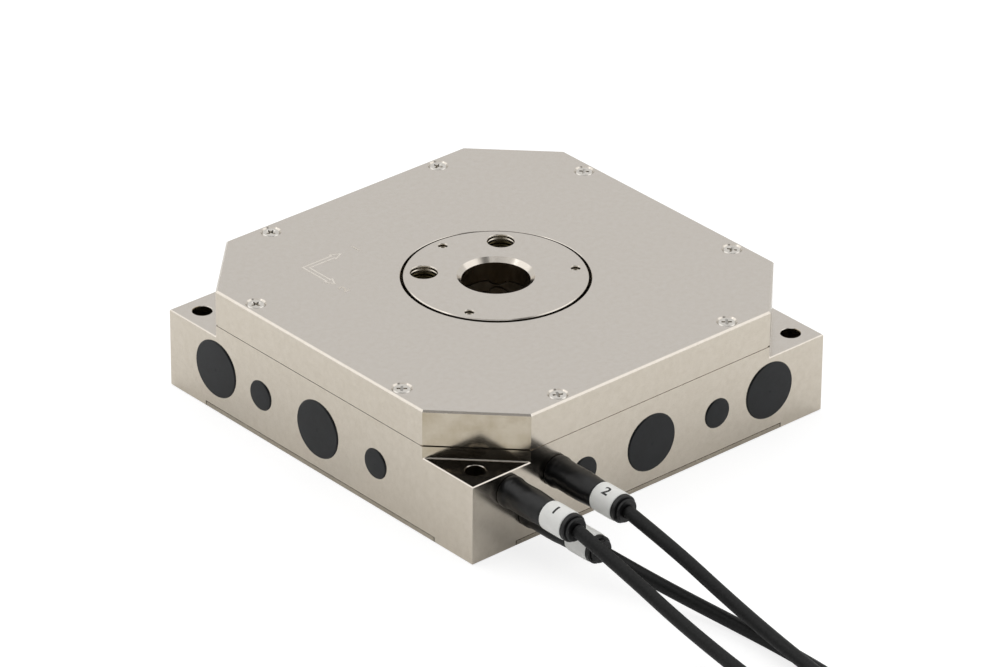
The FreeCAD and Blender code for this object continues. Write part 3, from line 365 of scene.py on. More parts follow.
def make_materials():
    """The finishes by slot. Each patch and grain is given by its size in millimetres."""
    made = {}
    # Electroless nickel on milled aluminium: warm grey with a soft mirror, with the sides painted browner
    # than the top as painted light
    made["nickel"] = nickel_plate("electroless_nickel")
    # The same on the platform ring, with a painted dark olive shade inside the bored holes
    made["bored_nickel"] = nickel_plate("electroless_nickel_in_bores", bored=True)
    # Milled aluminium, clear passivated: close to the plating, a little rougher
    made["base_aluminium"] = mottled(
        "milled_aluminium", "B5AD9F", "A9A092",
        metallic=1.0, roughness=0.26, spread=0.05, patch_mm=7.0, grain_mm=0.4, bump=0.12,
    )
    # A2 stainless, turned and tumbled: bright rims and soft highlights
    made["stainless"] = mottled(
        "tumbled_stainless", "DDD9D3", "CFCBC4",
        metallic=1.0, roughness=0.30, spread=0.05, patch_mm=1.5, grain_mm=0.12, bump=0.08,
    )
    # Moulded black polyamide plug: dark slate with an even sheen
    made["plug_plastic"] = mottled(
        "moulded_polyamide", "171A1E", "0F1214",
        metallic=0.0, roughness=0.42, spread=0.05, patch_mm=4.0, grain_mm=0.25, bump=0.06, ior=1.38,
    )
    # Wire-cut aluminium: matt, brownish and pitted
    made["mechanism_aluminium"] = mottled(
        "wire_cut_aluminium", "A39A8C", "857866",
        metallic=1.0, roughness=0.46, spread=0.07, patch_mm=3.0, grain_mm=0.2, bump=0.2,
    )
    # Ground spring steel: cool grey with a fine, even gloss
    made["spring_steel"] = mottled(
        "ground_spring_steel", "B9B7B2", "A5A29B",
        metallic=1.0, roughness=0.32, spread=0.05, patch_mm=2.5, grain_mm=0.15, bump=0.08,
    )
    # Lead zirconate titanate under epoxy: brown and slightly glossy
    made["piezo_ceramic"] = mottled(
        "epoxy_coated_ceramic", "6B4A33", "583A27",
        metallic=0.0, roughness=0.38, spread=0.06, patch_mm=2.0, grain_mm=0.2, bump=0.08,
    )
    # Hardened and ground tool steel: a little darker and sharper than the springs
    made["hardened_steel"] = mottled(
        "ground_tool_steel", "B0AFAD", "9C9A97",
        metallic=1.0, roughness=0.25, spread=0.04, patch_mm=2.0, grain_mm=0.15, bump=0.06,
    )
    # Solder-masked epoxy glass: deep green and glossy
    made["circuit_board"] = mottled(
        "solder_mask", "245A35", "1D4C2C",
        metallic=0.0, roughness=0.34, spread=0.05, patch_mm=2.0, grain_mm=0.2, bump=0.06,
    )
    # Moulded black elastomer, slightly dusty: soft uneven highlights on deep black
    made["boot_rubber"] = mottled(
        "moulded_elastomer", "0D0D0E", "09090A",
        metallic=0.0, roughness=0.36, spread=0.08, patch_mm=2.5, grain_mm=0.3, bump=0.25, ior=1.40,
    )
    # White heat-shrink sleeve: clean and softly glossy
    made["marker_white"] = mottled(
        "white_heat_shrink", "F2F2EF", "EBEBE8",
        metallic=0.0, roughness=0.42, spread=0.05, patch_mm=2.5, grain_mm=0.3, bump=0.08,
    )
    # Turned black acetal: smooth and even, the same black as the boots
    made["collar_plastic"] = mottled(
        "black_acetal", "0D0D0E", "09090A",
        metallic=0.0, roughness=0.38, spread=0.06, patch_mm=2.0, grain_mm=0.25, bump=0.12, ior=1.40,
    )
    # Polyurethane jacket: dark grey and matt, with a fine woven grain that is drawn coarser than real
    made["cable_jacket"] = mottled(
        "polyurethane_jacket", "080909", "141515",
        metallic=0.0, roughness=0.50, spread=0.10, patch_mm=0.6, grain_mm=0.4, bump=0.9, ior=1.32,
    )
    # Moulded black nylon strap: dark grey with a dull sheen
    made["tie_plastic"] = mottled(
        "black_nylon", "222324", "191A1B",
        metallic=0.0, roughness=0.40, spread=0.06, patch_mm=2.0, grain_mm=0.2, bump=0.12,
    )
    # Satin chrome on turned brass: pale and bright, with soft reflections
    made["connector_chrome"] = mottled(
        "satin_chrome", "D9D7D3", "CDCAC4",
        metallic=1.0, roughness=0.20, spread=0.05, patch_mm=2.5, grain_mm=0.15, bump=0.06,
    )
    # Gold over nickel on machined brass: warm and bright
    made["gilt_pins"] = mottled(
        "gold_plated_brass", "E6C27A", "DAB266",
        metallic=1.0, roughness=0.22, spread=0.04, patch_mm=1.0, grain_mm=0.1, bump=0.05,
    )
    # Laser-etched outline: the plating turned a shade paler and matt
    made["etched_line"] = mottled(
        "laser_etched_line", "E8E2DA", "DFD8CE",
        metallic=1.0, roughness=0.40, spread=0.05, patch_mm=0.8, grain_mm=0.1, bump=0.10,
    )
    # Deeper etched numerals: pale and quite matt, without the plating's shine
    made["etched_mark"] = mottled(
        "laser_etched_mark", "D6CEC4", "CAC2B6",
        metallic=0.0, roughness=0.60, spread=0.05, patch_mm=0.8, grain_mm=0.1, bump=0.10,
    )
    # Printed black ink: a flat matt black on the glossier sleeve
    made["ink"] = mottled(
        "thermal_print", "1A1A1B", "141415",
        metallic=0.0, roughness=0.50, spread=0.05, patch_mm=0.8, grain_mm=0.1, bump=0.05,
    )
    return made


def dress_nodes(made):
    """Each node gets the material of its slot in the record."""
    for part in frame["record"]["subparts"]:
        mesh = nodes[part["node"]].data
        mesh.materials.clear()
        bored = part["node"] == "platform_ring"
        mesh.materials.append(made["bored_nickel" if bored else part["material_slot"]])


# Modelling


def deselect():
    """Leaves nothing selected."""
    bpy.ops.object.select_all(action="DESELECT")


def open_piece(name):
    """Names the primitive just added and opens it for editing with nothing selected."""
    piece = bpy.context.object
    piece.name = piece.data.name = name
    bpy.ops.object.mode_set(mode="EDIT")
    bpy.ops.mesh.select_mode(type="FACE")
    bpy.ops.mesh.select_all(action="DESELECT")
    return piece


def choose_faces(test):
    """Selects the faces of the open piece whose middle and normal pass the test."""
    bpy.ops.mesh.select_mode(type="FACE")
    bpy.ops.mesh.select_all(action="DESELECT")
    mesh = bpy.context.edit_object.data
    place = bpy.context.edit_object.matrix_world
    form = bmesh.from_edit_mesh(mesh)
    for face in form.faces:
        normal = (place.to_3x3() @ face.normal).normalized()
        face.select_set(bool(test(place @ face.calc_center_median(), normal)))
    form.select_flush_mode()
    bmesh.update_edit_mesh(mesh)


def choose_edges(test):
    """Selects the edges of the open piece whose two ends pass the test."""
    bpy.ops.mesh.select_mode(type="EDGE")
    bpy.ops.mesh.select_all(action="DESELECT")
    mesh = bpy.context.edit_object.data
    place = bpy.context.edit_object.matrix_world
    form = bmesh.from_edit_mesh(mesh)
    for edge in form.edges:
        edge.select_set(bool(test(*(place @ v.co for v in edge.verts))))
    form.select_flush_mode()
    bmesh.update_edit_mesh(mesh)


def push(shift):
    """Extrudes what is selected by a vector."""
    bpy.ops.mesh.extrude_region_move(TRANSFORM_OT_translate={"value": tuple(shift)})


def widen(factor, middle):
    """Scales what is selected about a point."""
    bpy.ops.transform.resize(value=(factor, factor, factor), center_override=tuple(middle))


def close_piece():
    """Ends the editing of the open piece."""
    bpy.ops.object.mode_set(mode="OBJECT")


def shape_with(piece, kind, **settings):
    """Adds a modifier, sets it and applies it."""
    bpy.context.view_layer.objects.active = piece
    modifier = piece.modifiers.new(kind.lower(), kind)
    for key, value in settings.items():
        setattr(modifier, key, value)
    bpy.ops.object.modifier_apply(modifier=modifier.name)


def round_edges(piece, width, segments, angle):
    """Rounds the edges that are sharper than an angle in degrees."""
    shape_with(
        piece,
        "BEVEL",
        width=width,
        segments=segments,
        limit_method="ANGLE",
        angle_limit=math.radians(angle),
    )


def settle(piece, smooth=None):
    """Puts the piece's place into its mesh, and smooths what is flatter than the angle."""
    deselect()
    piece.select_set(True)
    bpy.context.view_layer.objects.active = piece
    bpy.ops.object.transform_apply(location=True, rotation=True, scale=True)
    if smooth is not None:
        bpy.ops.object.shade_smooth_by_angle(angle=math.radians(smooth))
    deselect()
    return piece


def copy_piece(piece, name, shift=(0, 0, 0)):
    """A copy with its own mesh, moved by a vector."""
    deselect()
    piece.select_set(True)
    bpy.context.view_layer.objects.active = piece
    bpy.ops.object.duplicate(linked=False)
    copy = bpy.context.object
    copy.name = copy.data.name = name
    copy.location = Vector(copy.location) + Vector(shift)
    return settle(copy)


def join_pieces(pieces):
    """Makes the pieces one, under the name of the last."""
    deselect()
    for piece in pieces:
        piece.select_set(True)
    bpy.context.view_layer.objects.active = pieces[-1]
    bpy.ops.object.join()
    return pieces[-1]


def move_piece(piece, place, turn):
    """Turns the piece about the origin's Z axis, moves it and settles it."""
    piece.rotation_euler = (0, 0, turn)
    piece.location = place
    settle(piece)


def dress(piece, made, slot, *replaced, material=None):
    """The piece's finish, taken from its slot unless another material is named; its body; and the nodes that
    it replaces, which are hidden.
    """
    piece.data.materials.clear()
    piece.data.materials.append(made[material or slot])
    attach(piece, BODY)
    if replaced:
        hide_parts(*replaced)


def start_turned(name, radius, length, start, along, sides):
    """A round bar from its start, opened with its far end selected."""
    deselect()
    along = Vector(along).normalized()
    bpy.ops.mesh.primitive_cylinder_add(
        vertices=sides,
        radius=radius,
        depth=length,
        location=Vector(start) + along * length / 2,
        rotation=along.to_track_quat("Z", "Y").to_euler(),
    )
    piece = open_piece(name)
    choose_faces(lambda middle, normal: normal.dot(along) > 0.99)
    return piece


def turn_on(start, along, steps):
    """Extrudes the selected end through steps of (distance from the start, radius), each a ring."""
    along = Vector(along).normalized()
    at, radius = steps[0]
    for far, wide in steps[1:]:
        push(along * (far - at))
        if wide != radius:
            widen(wide / radius, Vector(start) + along * far)
        at, radius = far, wide


def finish_turned(piece, width):
    """Closes a turned piece, breaks its edges and smooths its round faces."""
    close_piece()
    settle(piece)
    round_edges(piece, width, 2, 35)
    return settle(piece, 35)


# Boots, markers and marks


def make_boots(made):
    """Moulded boots: a rolled foot on the face, a waist, a swollen grip and a shank through the wall."""
    x, z, length = BOOTS["x"]
    start, out = Vector((x, FACE_Y, z)), Vector((0, -1, 0))
    boot = start_turned("cable_boot_x", FOOT_R, 0.35 * MM, start, out, 40)
    # Distance from the face and radius, in millimetres
    profile = [
        (0.35, 3.55),
        (0.80, 3.60),
        (1.40, 3.58),
        (1.90, 3.46),
        (2.40, 3.34),
        (3.20, 3.30),
        (4.20, 3.30),
        (5.60, 3.33),
        (7.20, 3.36),
        (9.20, 3.30),
        (10.80, 3.18),
        (11.90, 3.14),
        (12.70, 3.10),
        (13.10, 2.70),
    ]
    turn_on(start, out, [(a * MM, r * MM) for a, r in profile])
    choose_faces(lambda middle, normal: normal.y > 0.9)
    bpy.ops.mesh.inset(thickness=FOOT_R - SHANK_R)
    push((0, SHANK_L, 0))
    choose_faces(lambda middle, normal: middle.y < FACE_Y - 2.5 * MM and abs(normal.y) < 0.5)
    bpy.ops.object.vertex_group_add()
    bpy.ops.object.vertex_group_assign()
    close_piece()
    boot.vertex_groups[0].name = "grip"
    shape_with(boot, "SUBSURF", levels=2, render_levels=2)
    swelling = bpy.data.textures.new("boot_swelling", "CLOUDS")
    swelling.noise_scale = 4.5 * MM
    shape_with(
        boot,
        "DISPLACE",
        texture=swelling,
        texture_coords="LOCAL",
        strength=0.24 * MM,
        mid_level=0.5,
        vertex_group="grip",
    )
    settle(boot, 60)
    boots = [boot]
    # The other two are longer: their outer ends are moved on
    for name in ("y", "z"):
        bx, bz, blength = BOOTS[name]
        piece = copy_piece(boot, f"cable_boot_{name}", (bx - x, 0, bz - z))
        bpy.context.view_layer.objects.active = piece
        open_piece(piece.name)
        choose_faces(lambda middle, normal: middle.y < FACE_Y - 8.0 * MM)
        bpy.ops.transform.translate(value=(0, length - blength, 0))
        close_piece()
        boots.append(piece)
    for piece in boots:
        dress(piece, made, "boot_rubber", "cable_boots")
    return boots


def make_numeral(name, text, size, middle, across, up, sliced=False):
    """A numeral as a flat mesh, centred on a point; sliced across where it is to be wrapped."""
    deselect()
    bpy.ops.object.text_add()
    letter = bpy.context.object
    letter.data.body = text
    letter.data.size = size
    letter.data.align_x = "CENTER"
    letter.data.align_y = "CENTER"
    letter.data.resolution_u = 4
    letter.data.offset = NUMERAL_BOLD * size
    bpy.ops.object.convert(target="MESH")
    letter = bpy.context.object
    letter.name = letter.data.name = name
    across, up = Vector(across), Vector(up)
    axes = Matrix((across, up, across.cross(up))).transposed().to_4x4()
    letter.matrix_world = Matrix.Translation(middle) @ axes
    settle(letter)
    bpy.context.view_layer.objects.active = letter
    open_piece(name)
    bpy.ops.mesh.select_all(action="SELECT")
    bpy.ops.mesh.remove_doubles(threshold=0.005 * MM)
    if sliced:
        for k in range(-SLICES, SLICES + 1):
            bpy.ops.mesh.select_all(action="SELECT")
            bpy.ops.mesh.bisect(plane_co=tuple(middle + up * k * SLICE), plane_no=tuple(up))
    close_piece()
    return letter


def wrap(print_piece, sleeve):
    """Lays a flat print down on the sleeve's surface."""
    shape_with(
        print_piece,
        "SHRINKWRAP",
        target=sleeve,
        wrap_method="NEAREST_SURFACEPOINT",
        wrap_mode="ABOVE_SURFACE",
        offset=PRINT_LIFT,
    )


def make_markers(made):
    """Shrunk white sleeves with rolled edges, each with a printed numeral."""
    x, z, length = BOOTS["x"]
    out = Vector((0, -1, 0))
    start = Vector((x, FACE_Y - length, z))
    sleeve = start_turned("cable_marker_x", MARKER_R - 0.14 * MM, 0.1 * MM, start, out, 40)
    # Distance from the boot and radius, in millimetres
    profile = [
        (0.1, 3.11),
        (0.3, 3.24),
        (1.6, 3.27),
        (3.2, 3.25),
        (4.8, 3.27),
        (6.1, 3.24),
        (6.3, 3.15),
        (6.4, 3.02),
    ]
    turn_on(start, out, [(a * MM, r * MM) for a, r in profile])
    bpy.ops.mesh.inset(thickness=0.3 * MM, depth=-0.15 * MM)
    close_piece()
    shape_with(sleeve, "SUBSURF", levels=2, render_levels=2)
    settle(sleeve, 60)
    pieces = []
    for name, numeral in MARKER_NUMERALS.items():
        bx, bz, blength = BOOTS[name]
        shift = (bx - x, length - blength, bz - z)
        piece = sleeve if name == "x" else copy_piece(sleeve, f"cable_marker_{name}", shift)
        pieces.append(piece)
        middle = Vector((bx, FACE_Y - blength - NUMERAL_AT, bz))
        outwards = Vector((-math.sin(NUMERAL_TURN), 0, math.cos(NUMERAL_TURN)))
        up = Vector((math.cos(NUMERAL_TURN), 0, math.sin(NUMERAL_TURN)))
        print_at = middle + outwards * (MARKER_R + 0.5 * MM)
        number = make_numeral(f"marker_numeral_{name}", numeral, 3.5 * MM, print_at, out, up, sliced=True)
        wrap(number, piece)
        dress(number, made, "marker_white", material="ink")
        pieces.append(number)
    for name in MARKER_NUMERALS:
        dress(bpy.data.objects[f"cable_marker_{name}"], made, "marker_white", "cable_markers")
    return pieces


def make_axes_mark(made):
    """Etched outline of two arrows from one corner, with a numeral at each tip."""
    lift = TOP + PRINT_LIFT
    corner = Vector((-28.65, 29.35, 0)) * MM
    shaft, shaft_w = 6.65 * MM, 1.4 * MM
    head, head_w = 2.6 * MM, 2.7 * MM
    line_w, line_deep = 0.34 * MM, 0.02 * MM
    deselect()
    bpy.ops.mesh.primitive_plane_add(size=shaft_w, location=(corner.x, corner.y, lift))
    mark = open_piece("axes_mark")
    for along in (Vector((1, 0, 0)), Vector((0, -1, 0))):
        end = corner + along * shaft_w / 2
        choose_edges(
            lambda a, b: min((a - end).dot(along), (b - end).dot(along)) > -0.01 * MM
            and max((a - end).xy.length, (b - end).xy.length) < shaft_w
        )
        # The shaft, the step out to the head, and the head drawn in to its tip
        push(along * shaft)
        shoulder = Vector((*(end + along * shaft).xy, lift))
        push((0, 0, 0))
        widen(head_w / shaft_w, shoulder)
        push(along * head)
        widen(0.02, shoulder + along * head)
    bpy.ops.mesh.select_mode(type="FACE")
    bpy.ops.mesh.select_all(action="SELECT")
    bpy.ops.mesh.remove_doubles(threshold=0.07 * MM)
    bpy.ops.mesh.select_all(action="SELECT")
    bpy.ops.mesh.dissolve_faces()
    bpy.ops.mesh.inset(thickness=line_w)
    bpy.ops.mesh.delete(type="FACE")
    bpy.ops.mesh.select_all(action="SELECT")
    push((0, 0, -line_deep))
    bpy.ops.mesh.select_all(action="SELECT")
    bpy.ops.mesh.normals_make_consistent(inside=False)
    close_piece()
    pieces = [settle(mark)]
    for numeral, x, y in (("1", -14.9, 29.0), ("2", -28.7, 16.6)):
        middle = Vector((x * MM, y * MM, lift))
        name = f"axes_numeral_{numeral}"
        pieces.append(make_numeral(name, numeral, 3.4 * MM, middle, (1, 0, 0), (0, 1, 0)))
    for piece in pieces:
        dress(piece, made, "nickel", material="etched_line" if piece == pieces[0] else "etched_mark")


# Cables


# Millimetres, from the collar to the coil, repeated from the part's source
ROUTES = {
    "x": [
        (-40.0, -71.2, 14.2),
        (-40.0, -87.0, 10.8),
        (-40.1, -102.0, 7.0),
        (-40.3, -118.0, 4.3),
        (-41.0, -137.0, 2.6),
        (-42.8, -160.0, 2.3),
        (-45.8, -184.0, 4.9),
        (-48.4, -208.0, 8.6),
    ],
    "y": [
        (-27.0, -72.3, 14.2),
        (-27.0, -87.0, 11.5),
        (-26.9, -101.0, 7.6),
        (-27.1, -116.0, 4.4),
        (-28.6, -133.0, 3.1),
        (-32.6, -156.0, 3.2),
        (-39.0, -181.0, 8.2),
        (-47.2, -206.0, 14.7),
    ],
    "z": [
        (-33.8, -72.3, 7.1),
        (-32.0, -82.5, 5.6),
        (-28.6, -93.0, 3.1),
        (-26.0, -105.0, 1.6),
        (-25.2, -118.0, 1.55),
        (-25.3, -136.0, 1.6),
        (-30.5, -160.0, 1.6),
        (-40.5, -184.0, 1.9),
        (-47.6, -208.0, 2.4),
    ],
}
# Where each cable leaves the coil, in degrees, and its way down to the connector in millimetres:
# distance along the tangent, sideways shift, and height where that isn't the layer's own
EXIT_ANGLES = {"z": 180.0, "x": 212.0, "y": 244.0}
TAILS = {
    "z": [(0, 0, None), (10, 0.1, 5.0), (20, 0, 4.7)],
    "x": [(0, 0, None), (10, 0.1, 10.3), (20, 0, 6.4), (29, 0, 4.7)],
    "y": [(0, 0, None), (11, 0.1, 15.6), (22, 0, 11.2), (33, 0, 6.6), (42, 0, 4.7)],
}


def layer_z(cable, layer):
    """Height of a cable's middle in its lower layer, 0, or its upper one, 1."""
    return TIE_T + (COIL_ORDER.index(cable) * 2 + layer + 0.5) * CABLE_D


def coil_turns(cable):
    """Control points of the wound length: inwards along the lower layer, up, and out along the upper."""
    outer = COIL_R + (COIL_COLUMNS - 1) * CABLE_D / 2
    inner = COIL_R - (COIL_COLUMNS - 1) * CABLE_D / 2
    low, high = layer_z(cable, 0), layer_z(cable, 1)
    span = COIL_COLUMNS - 1
    sweep = 2 * math.pi * (2 * span + 1) + math.radians(EXIT_ANGLES[cable]) - ENTRY_ANGLE
    points = []
    for k in range(int(sweep / TURN_STEP) + 1):
        turns = k * TURN_STEP / (2 * math.pi)
        rise = min(max(turns - span, 0), 1)
        radius = max(outer - turns * CABLE_D, inner)
        if turns > span + 1:
            radius = min(inner + (turns - span - 1) * CABLE_D, outer)
        # The line touches the middles between its points, so these stand a little further out
        radius /= math.cos(TURN_STEP / 2)
        angle = ENTRY_ANGLE + k * TURN_STEP
        height = low + (high - low) * rise
        points.append(COIL_AT + Vector((radius * math.cos(angle), radius * math.sin(angle), height)))
    return points


def tail(cable):
    """Points from the coil down to the connector, and the direction that it lies in."""
    a = math.radians(EXIT_ANGLES[cable])
    outer = COIL_R + (COIL_COLUMNS - 1) * CABLE_D / 2
    across = Vector((math.cos(a), math.sin(a), 0))
    along = Vector((-math.sin(a), math.cos(a), 0))
    start = COIL_AT + across * outer
    points = []
    for forward, side, height in TAILS[cable]:
        z = layer_z(cable, 1) if height is None else height * MM
        points.append(start + along * forward * MM + across * side * MM + Vector((0, 0, z)))
    return points, along


def make_cable(cable, made):
    """A free cable on one NURBS line, from its collar through the coil to its connector."""
    points = [Vector(p) * MM for p in ROUTES[cable]] + coil_turns(cable) + tail(cable)[0]
    curve = bpy.data.curves.new(f"{cable}_lead", "CURVE")
    curve.dimensions = "3D"
    curve.bevel_depth = CABLE_D / 2
    curve.bevel_resolution = 4
    curve.resolution_u = 6
    curve.use_fill_caps = True
    spline = curve.splines.new("NURBS")
    spline.points.add(len(points) - 1)
    for target, point in zip(spline.points, points):
        target.co = (*point, 1.0)
    spline.order_u = 3
    spline.use_endpoint_u = True
    curve.materials.append(made["cable_jacket"])
    piece = bpy.data.objects.new(f"{cable}_lead", curve)
    bpy.context.scene.collection.objects.link(piece)
    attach(piece, BODY)
    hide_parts(f"{cable}_cable", f"{cable}_cable_coil")
    return piece


# Ties


def on_track(middle, normal):
    """Whether a face lies on the band's upper run, between the rims of its toothed track."""
    return normal.z > 0.99 and abs(middle.y) < 0.3 * MM


def make_tie_band(near, far, top):
    """The strap's loop round the bundle, with teeth pressed into its upper run."""
    half_w = TIE_W / 2
    deselect()
    bpy.ops.mesh.primitive_cube_add(size=1.0, location=((near + far) / 2, 0, top / 2))
    band = open_piece("coil_tie_30")
    band.scale = (far - near, TIE_W, top)
    bpy.context.view_layer.update()
    choose_faces(lambda middle, normal: abs(normal.y) > 0.9)
    bpy.ops.mesh.delete(type="FACE")
    close_piece()
    settle(band)
    bpy.context.view_layer.objects.active = band
    open_piece(band.name)
    choose_edges(lambda a, b: abs(a.y - b.y) > half_w)
    bpy.ops.mesh.bevel(offset=BAND_BEND_R, segments=6, affect="EDGES")
    choose_faces(lambda middle, normal: normal.z > 0.99)
    bpy.ops.mesh.inset(thickness=0.9 * MM)

    first = near + 2.5 * MM
    choose_faces(on_track)
    for k in range(1, TEETH + 1):
        bpy.ops.mesh.bisect(plane_co=(first + k * TOOTH_STEP, 0, top), plane_no=(1, 0, 0))
        choose_faces(on_track)
    choose_faces(
        lambda middle, normal: on_track(middle, normal)
        and 0 < (middle.x - first) / TOOTH_STEP < TEETH
        and int((middle.x - first) / TOOTH_STEP) % 2 == 1
    )
    bpy.ops.mesh.inset(thickness=0.04 * MM, depth=-0.12 * MM, use_individual=True)
    close_piece()
    shape_with(band, "SOLIDIFY", thickness=TIE_T, offset=-1.0, use_even_offset=True)
    round_edges(band, 0.1 * MM, 2, 50)
    return band


def make_tie_head(far, top):
    """The ratchet head: a block with a raised lid and the strap's slot sunk in its outer end."""
    deselect()
    bpy.ops.mesh.primitive_cube_add(size=1.0, location=(far - 5.0 * MM, 0, top + 1.3 * MM))
    head = open_piece("tie_head")
    head.scale = (4.6 * MM, 6.6 * MM, 2.8 * MM)
    bpy.context.view_layer.update()
    # The scale isn't in the mesh yet, so the insets are shares of the block's sides
    choose_faces(lambda middle, normal: normal.z > 0.9)
    bpy.ops.mesh.inset(thickness=0.25)
    push((0, 0, 0.35 * MM))
    choose_faces(lambda middle, normal: normal.x > 0.9)
    bpy.ops.mesh.inset(thickness=0.16)
    push((-2.2 * MM, 0, 0))
    close_piece()
    settle(head)
    round_edges(head, 0.25 * MM, 3, 40)
    return head


def make_tie_tail(far, top):
    """The strap's cut end, which leaves the head and curls upwards."""
    deselect()
    bpy.ops.mesh.primitive_cube_add(size=1.0, location=(far - 2.4 * MM, 0, top + 1.4 * MM))
    tail_end = open_piece("tie_tail")
    tail_end.scale = (1.0 * MM, 4.6 * MM, 1.0 * MM)
    bpy.context.view_layer.update()
    choose_faces(lambda middle, normal: normal.x > 0.9)
    for rise in (0.1, 0.35, 0.6):
        push((1.5 * MM, 0, rise * MM))
    widen(0.9, (far + 2.6 * MM, 0, top + 2.4 * MM))
    close_piece()
    settle(tail_end)
    round_edges(tail_end, 0.12 * MM, 2, 40)
    return tail_end


def make_ties(made):
    """The first strap is modelled at angle zero and copied, then each is turned to its place."""
    coil_in = COIL_R - COIL_COLUMNS * CABLE_D / 2
    coil_out = COIL_R + COIL_COLUMNS * CABLE_D / 2
    near = math.sqrt(coil_in**2 - (TIE_W / 2) ** 2) - TIE_GAP - TIE_T
    far = coil_out + TIE_GAP + TIE_T - TURN_SLACK
    top = TIE_T + COIL_LAYERS * CABLE_D + TIE_GAP + TIE_T
    band = make_tie_band(near, far, top)
    first = settle(join_pieces([make_tie_head(far, top), make_tie_tail(far, top), band]), 30)
    ties = [first] + [copy_piece(first, f"coil_tie_{int(angle)}") for angle in TIE_ANGLES[1:]]
    for tie, angle in zip(ties, TIE_ANGLES):
        move_piece(tie, COIL_AT, math.radians(angle))
        dress(tie, made, "tie_plastic", "coil_ties")
    return ties


# Connectors


def make_relief():
    """The ribbed bend relief, which widens from the cable to the connector."""
    start = Vector((0, 0, 0))
    relief = start_turned("x_connector_relief", 1.75 * MM, 0.5 * MM, start, LENGTHWISE, 32)
    # Distance and radius in millimetres: a collar, five ribs that grow, and the foot
    profile = [(0.5, 1.95), (1.0, 2.05)]
    for k in range(5):
        at = 1.2 + 1.3 * k
        wide = 2.15 + 0.13 * k
        profile += [(at, wide), (at + 0.7, wide + 0.05), (at + 0.75, wide - 0.3), (at + 1.15, wide - 0.3)]
    profile += [(7.9, 2.8), (8.3, 2.8)]
    turn_on(start, LENGTHWISE, [(a * MM, r * MM) for a, r in profile])
    return finish_turned(relief, 0.06 * MM)


def shell_side(middle):
    """Number of the shell's side that a face lies on, counted round it."""
    return int(round(math.degrees(math.atan2(middle.z, middle.y)) / (360 / SHELL_SIDES) - 0.5))


def make_shell():
    """The turned shell: nut, groove, sleeve and nose, with grip flutes and an open front."""
    start = Vector((8.0 * MM, 0, 0))
    shell = start_turned("x_connector_shell", 3.9 * MM, 0.4 * MM, start, LENGTHWISE, SHELL_SIDES)
    # Distance and radius in millimetres
    profile = [
        (0.4, 4.3),
        (1.4, 4.3),
        (6.6, 4.3),
        (7.6, 4.3),
        (7.8, 4.05),
        (8.0, 4.05),
        (8.2, 4.35),
        (8.5, 4.7),
        (10.4, 4.7),
        (10.6, 4.5),
        (11.4, 4.5),
        (11.6, 4.7),
        (13.0, 4.7),
        (22.0, 4.7),
        (23.6, 4.7),
        (24.6, 4.55),
        (25.0, 4.2),
        (25.0, 3.7),
        (25.2, 3.5),
        (33.4, 3.5),
        (34.0, 3.25),
    ]
    turn_on(start, LENGTHWISE, [(a * MM, r * MM) for a, r in profile])
    bpy.ops.mesh.inset(thickness=0.55 * MM)
    push((-4.5 * MM, 0, 0))
    # Grip flutes on the sleeve
    choose_faces(
        lambda middle, normal: abs(normal.x) < 0.1
        and 21.0 * MM < middle.x < 30.0 * MM
        and middle.yz.length > 4.4 * MM
        and shell_side(middle) % 2 == 0
    )
    bpy.ops.mesh.inset(thickness=0.12 * MM, depth=-0.22 * MM, use_individual=True)
    # Spanner flats on the nut
    choose_faces(
        lambda middle, normal: abs(normal.x) < 0.1
        and 9.4 * MM < middle.x < 14.6 * MM
        and shell_side(middle) % 4 == 0
    )
    bpy.ops.mesh.inset(thickness=0.1 * MM, depth=-0.18 * MM, use_individual=True)
    return finish_turned(shell, 0.07 * MM)


def make_contacts(face):
    """The black block that holds the pins, stepped in front."""
    block = start_turned("x_connector_contacts", 2.6 * MM, 0.6 * MM, face, LENGTHWISE, 32)
    bpy.ops.mesh.inset(thickness=0.3 * MM)
    push((0.5 * MM, 0, 0))
    return finish_turned(block, 0.06 * MM)


def make_pins(face):
    """A circle of round-nosed pins, one modelled and the others turned copies."""
    pin_at = face + Vector((0.9 * MM, PIN_CIRCLE_R, 0))
    pin = start_turned("x_connector_pins", 0.28 * MM, 1.9 * MM, pin_at, LENGTHWISE, 12)
    turn_on(pin_at, LENGTHWISE, [(1.9 * MM, 0.28 * MM), (2.2 * MM, 0.24 * MM), (2.4 * MM, 0.14 * MM)])
    close_piece()
    settle(pin)
    others = []
    for k in range(1, PINS):
        copy = copy_piece(pin, f"pin_{k}")
        copy.rotation_euler = (math.radians(360 / PINS * k), 0, 0)
        others.append(settle(copy))
    return settle(join_pieces(others + [pin]), 40)


def make_connectors(made):
    """One push-pull connector along +X from the cable's end, copied and laid at each cable."""
    face = Vector((38.4 * MM, 0, 0))
    first = {
        "relief": (make_relief(), "boot_rubber"),
        "shell": (make_shell(), "connector_chrome"),
        "contacts": (make_contacts(face), "boot_rubber"),
        "pins": (make_pins(face), "gilt_pins"),
    }
    pieces = {}
    for cable in ("z", "y", "x"):
        points, along = tail(cable)
        turn = math.atan2(along.y, along.x)
        own = []
        for part, (original, finish) in first.items():
            piece = original if cable == "x" else copy_piece(original, f"{cable}_connector_{part}")
            move_piece(piece, points[-1], turn)
            dress(piece, made, "connector_chrome", f"{cable}_connector", material=finish)
            own.append(piece)
        pieces[cable] = own
    return pieces


# Studio


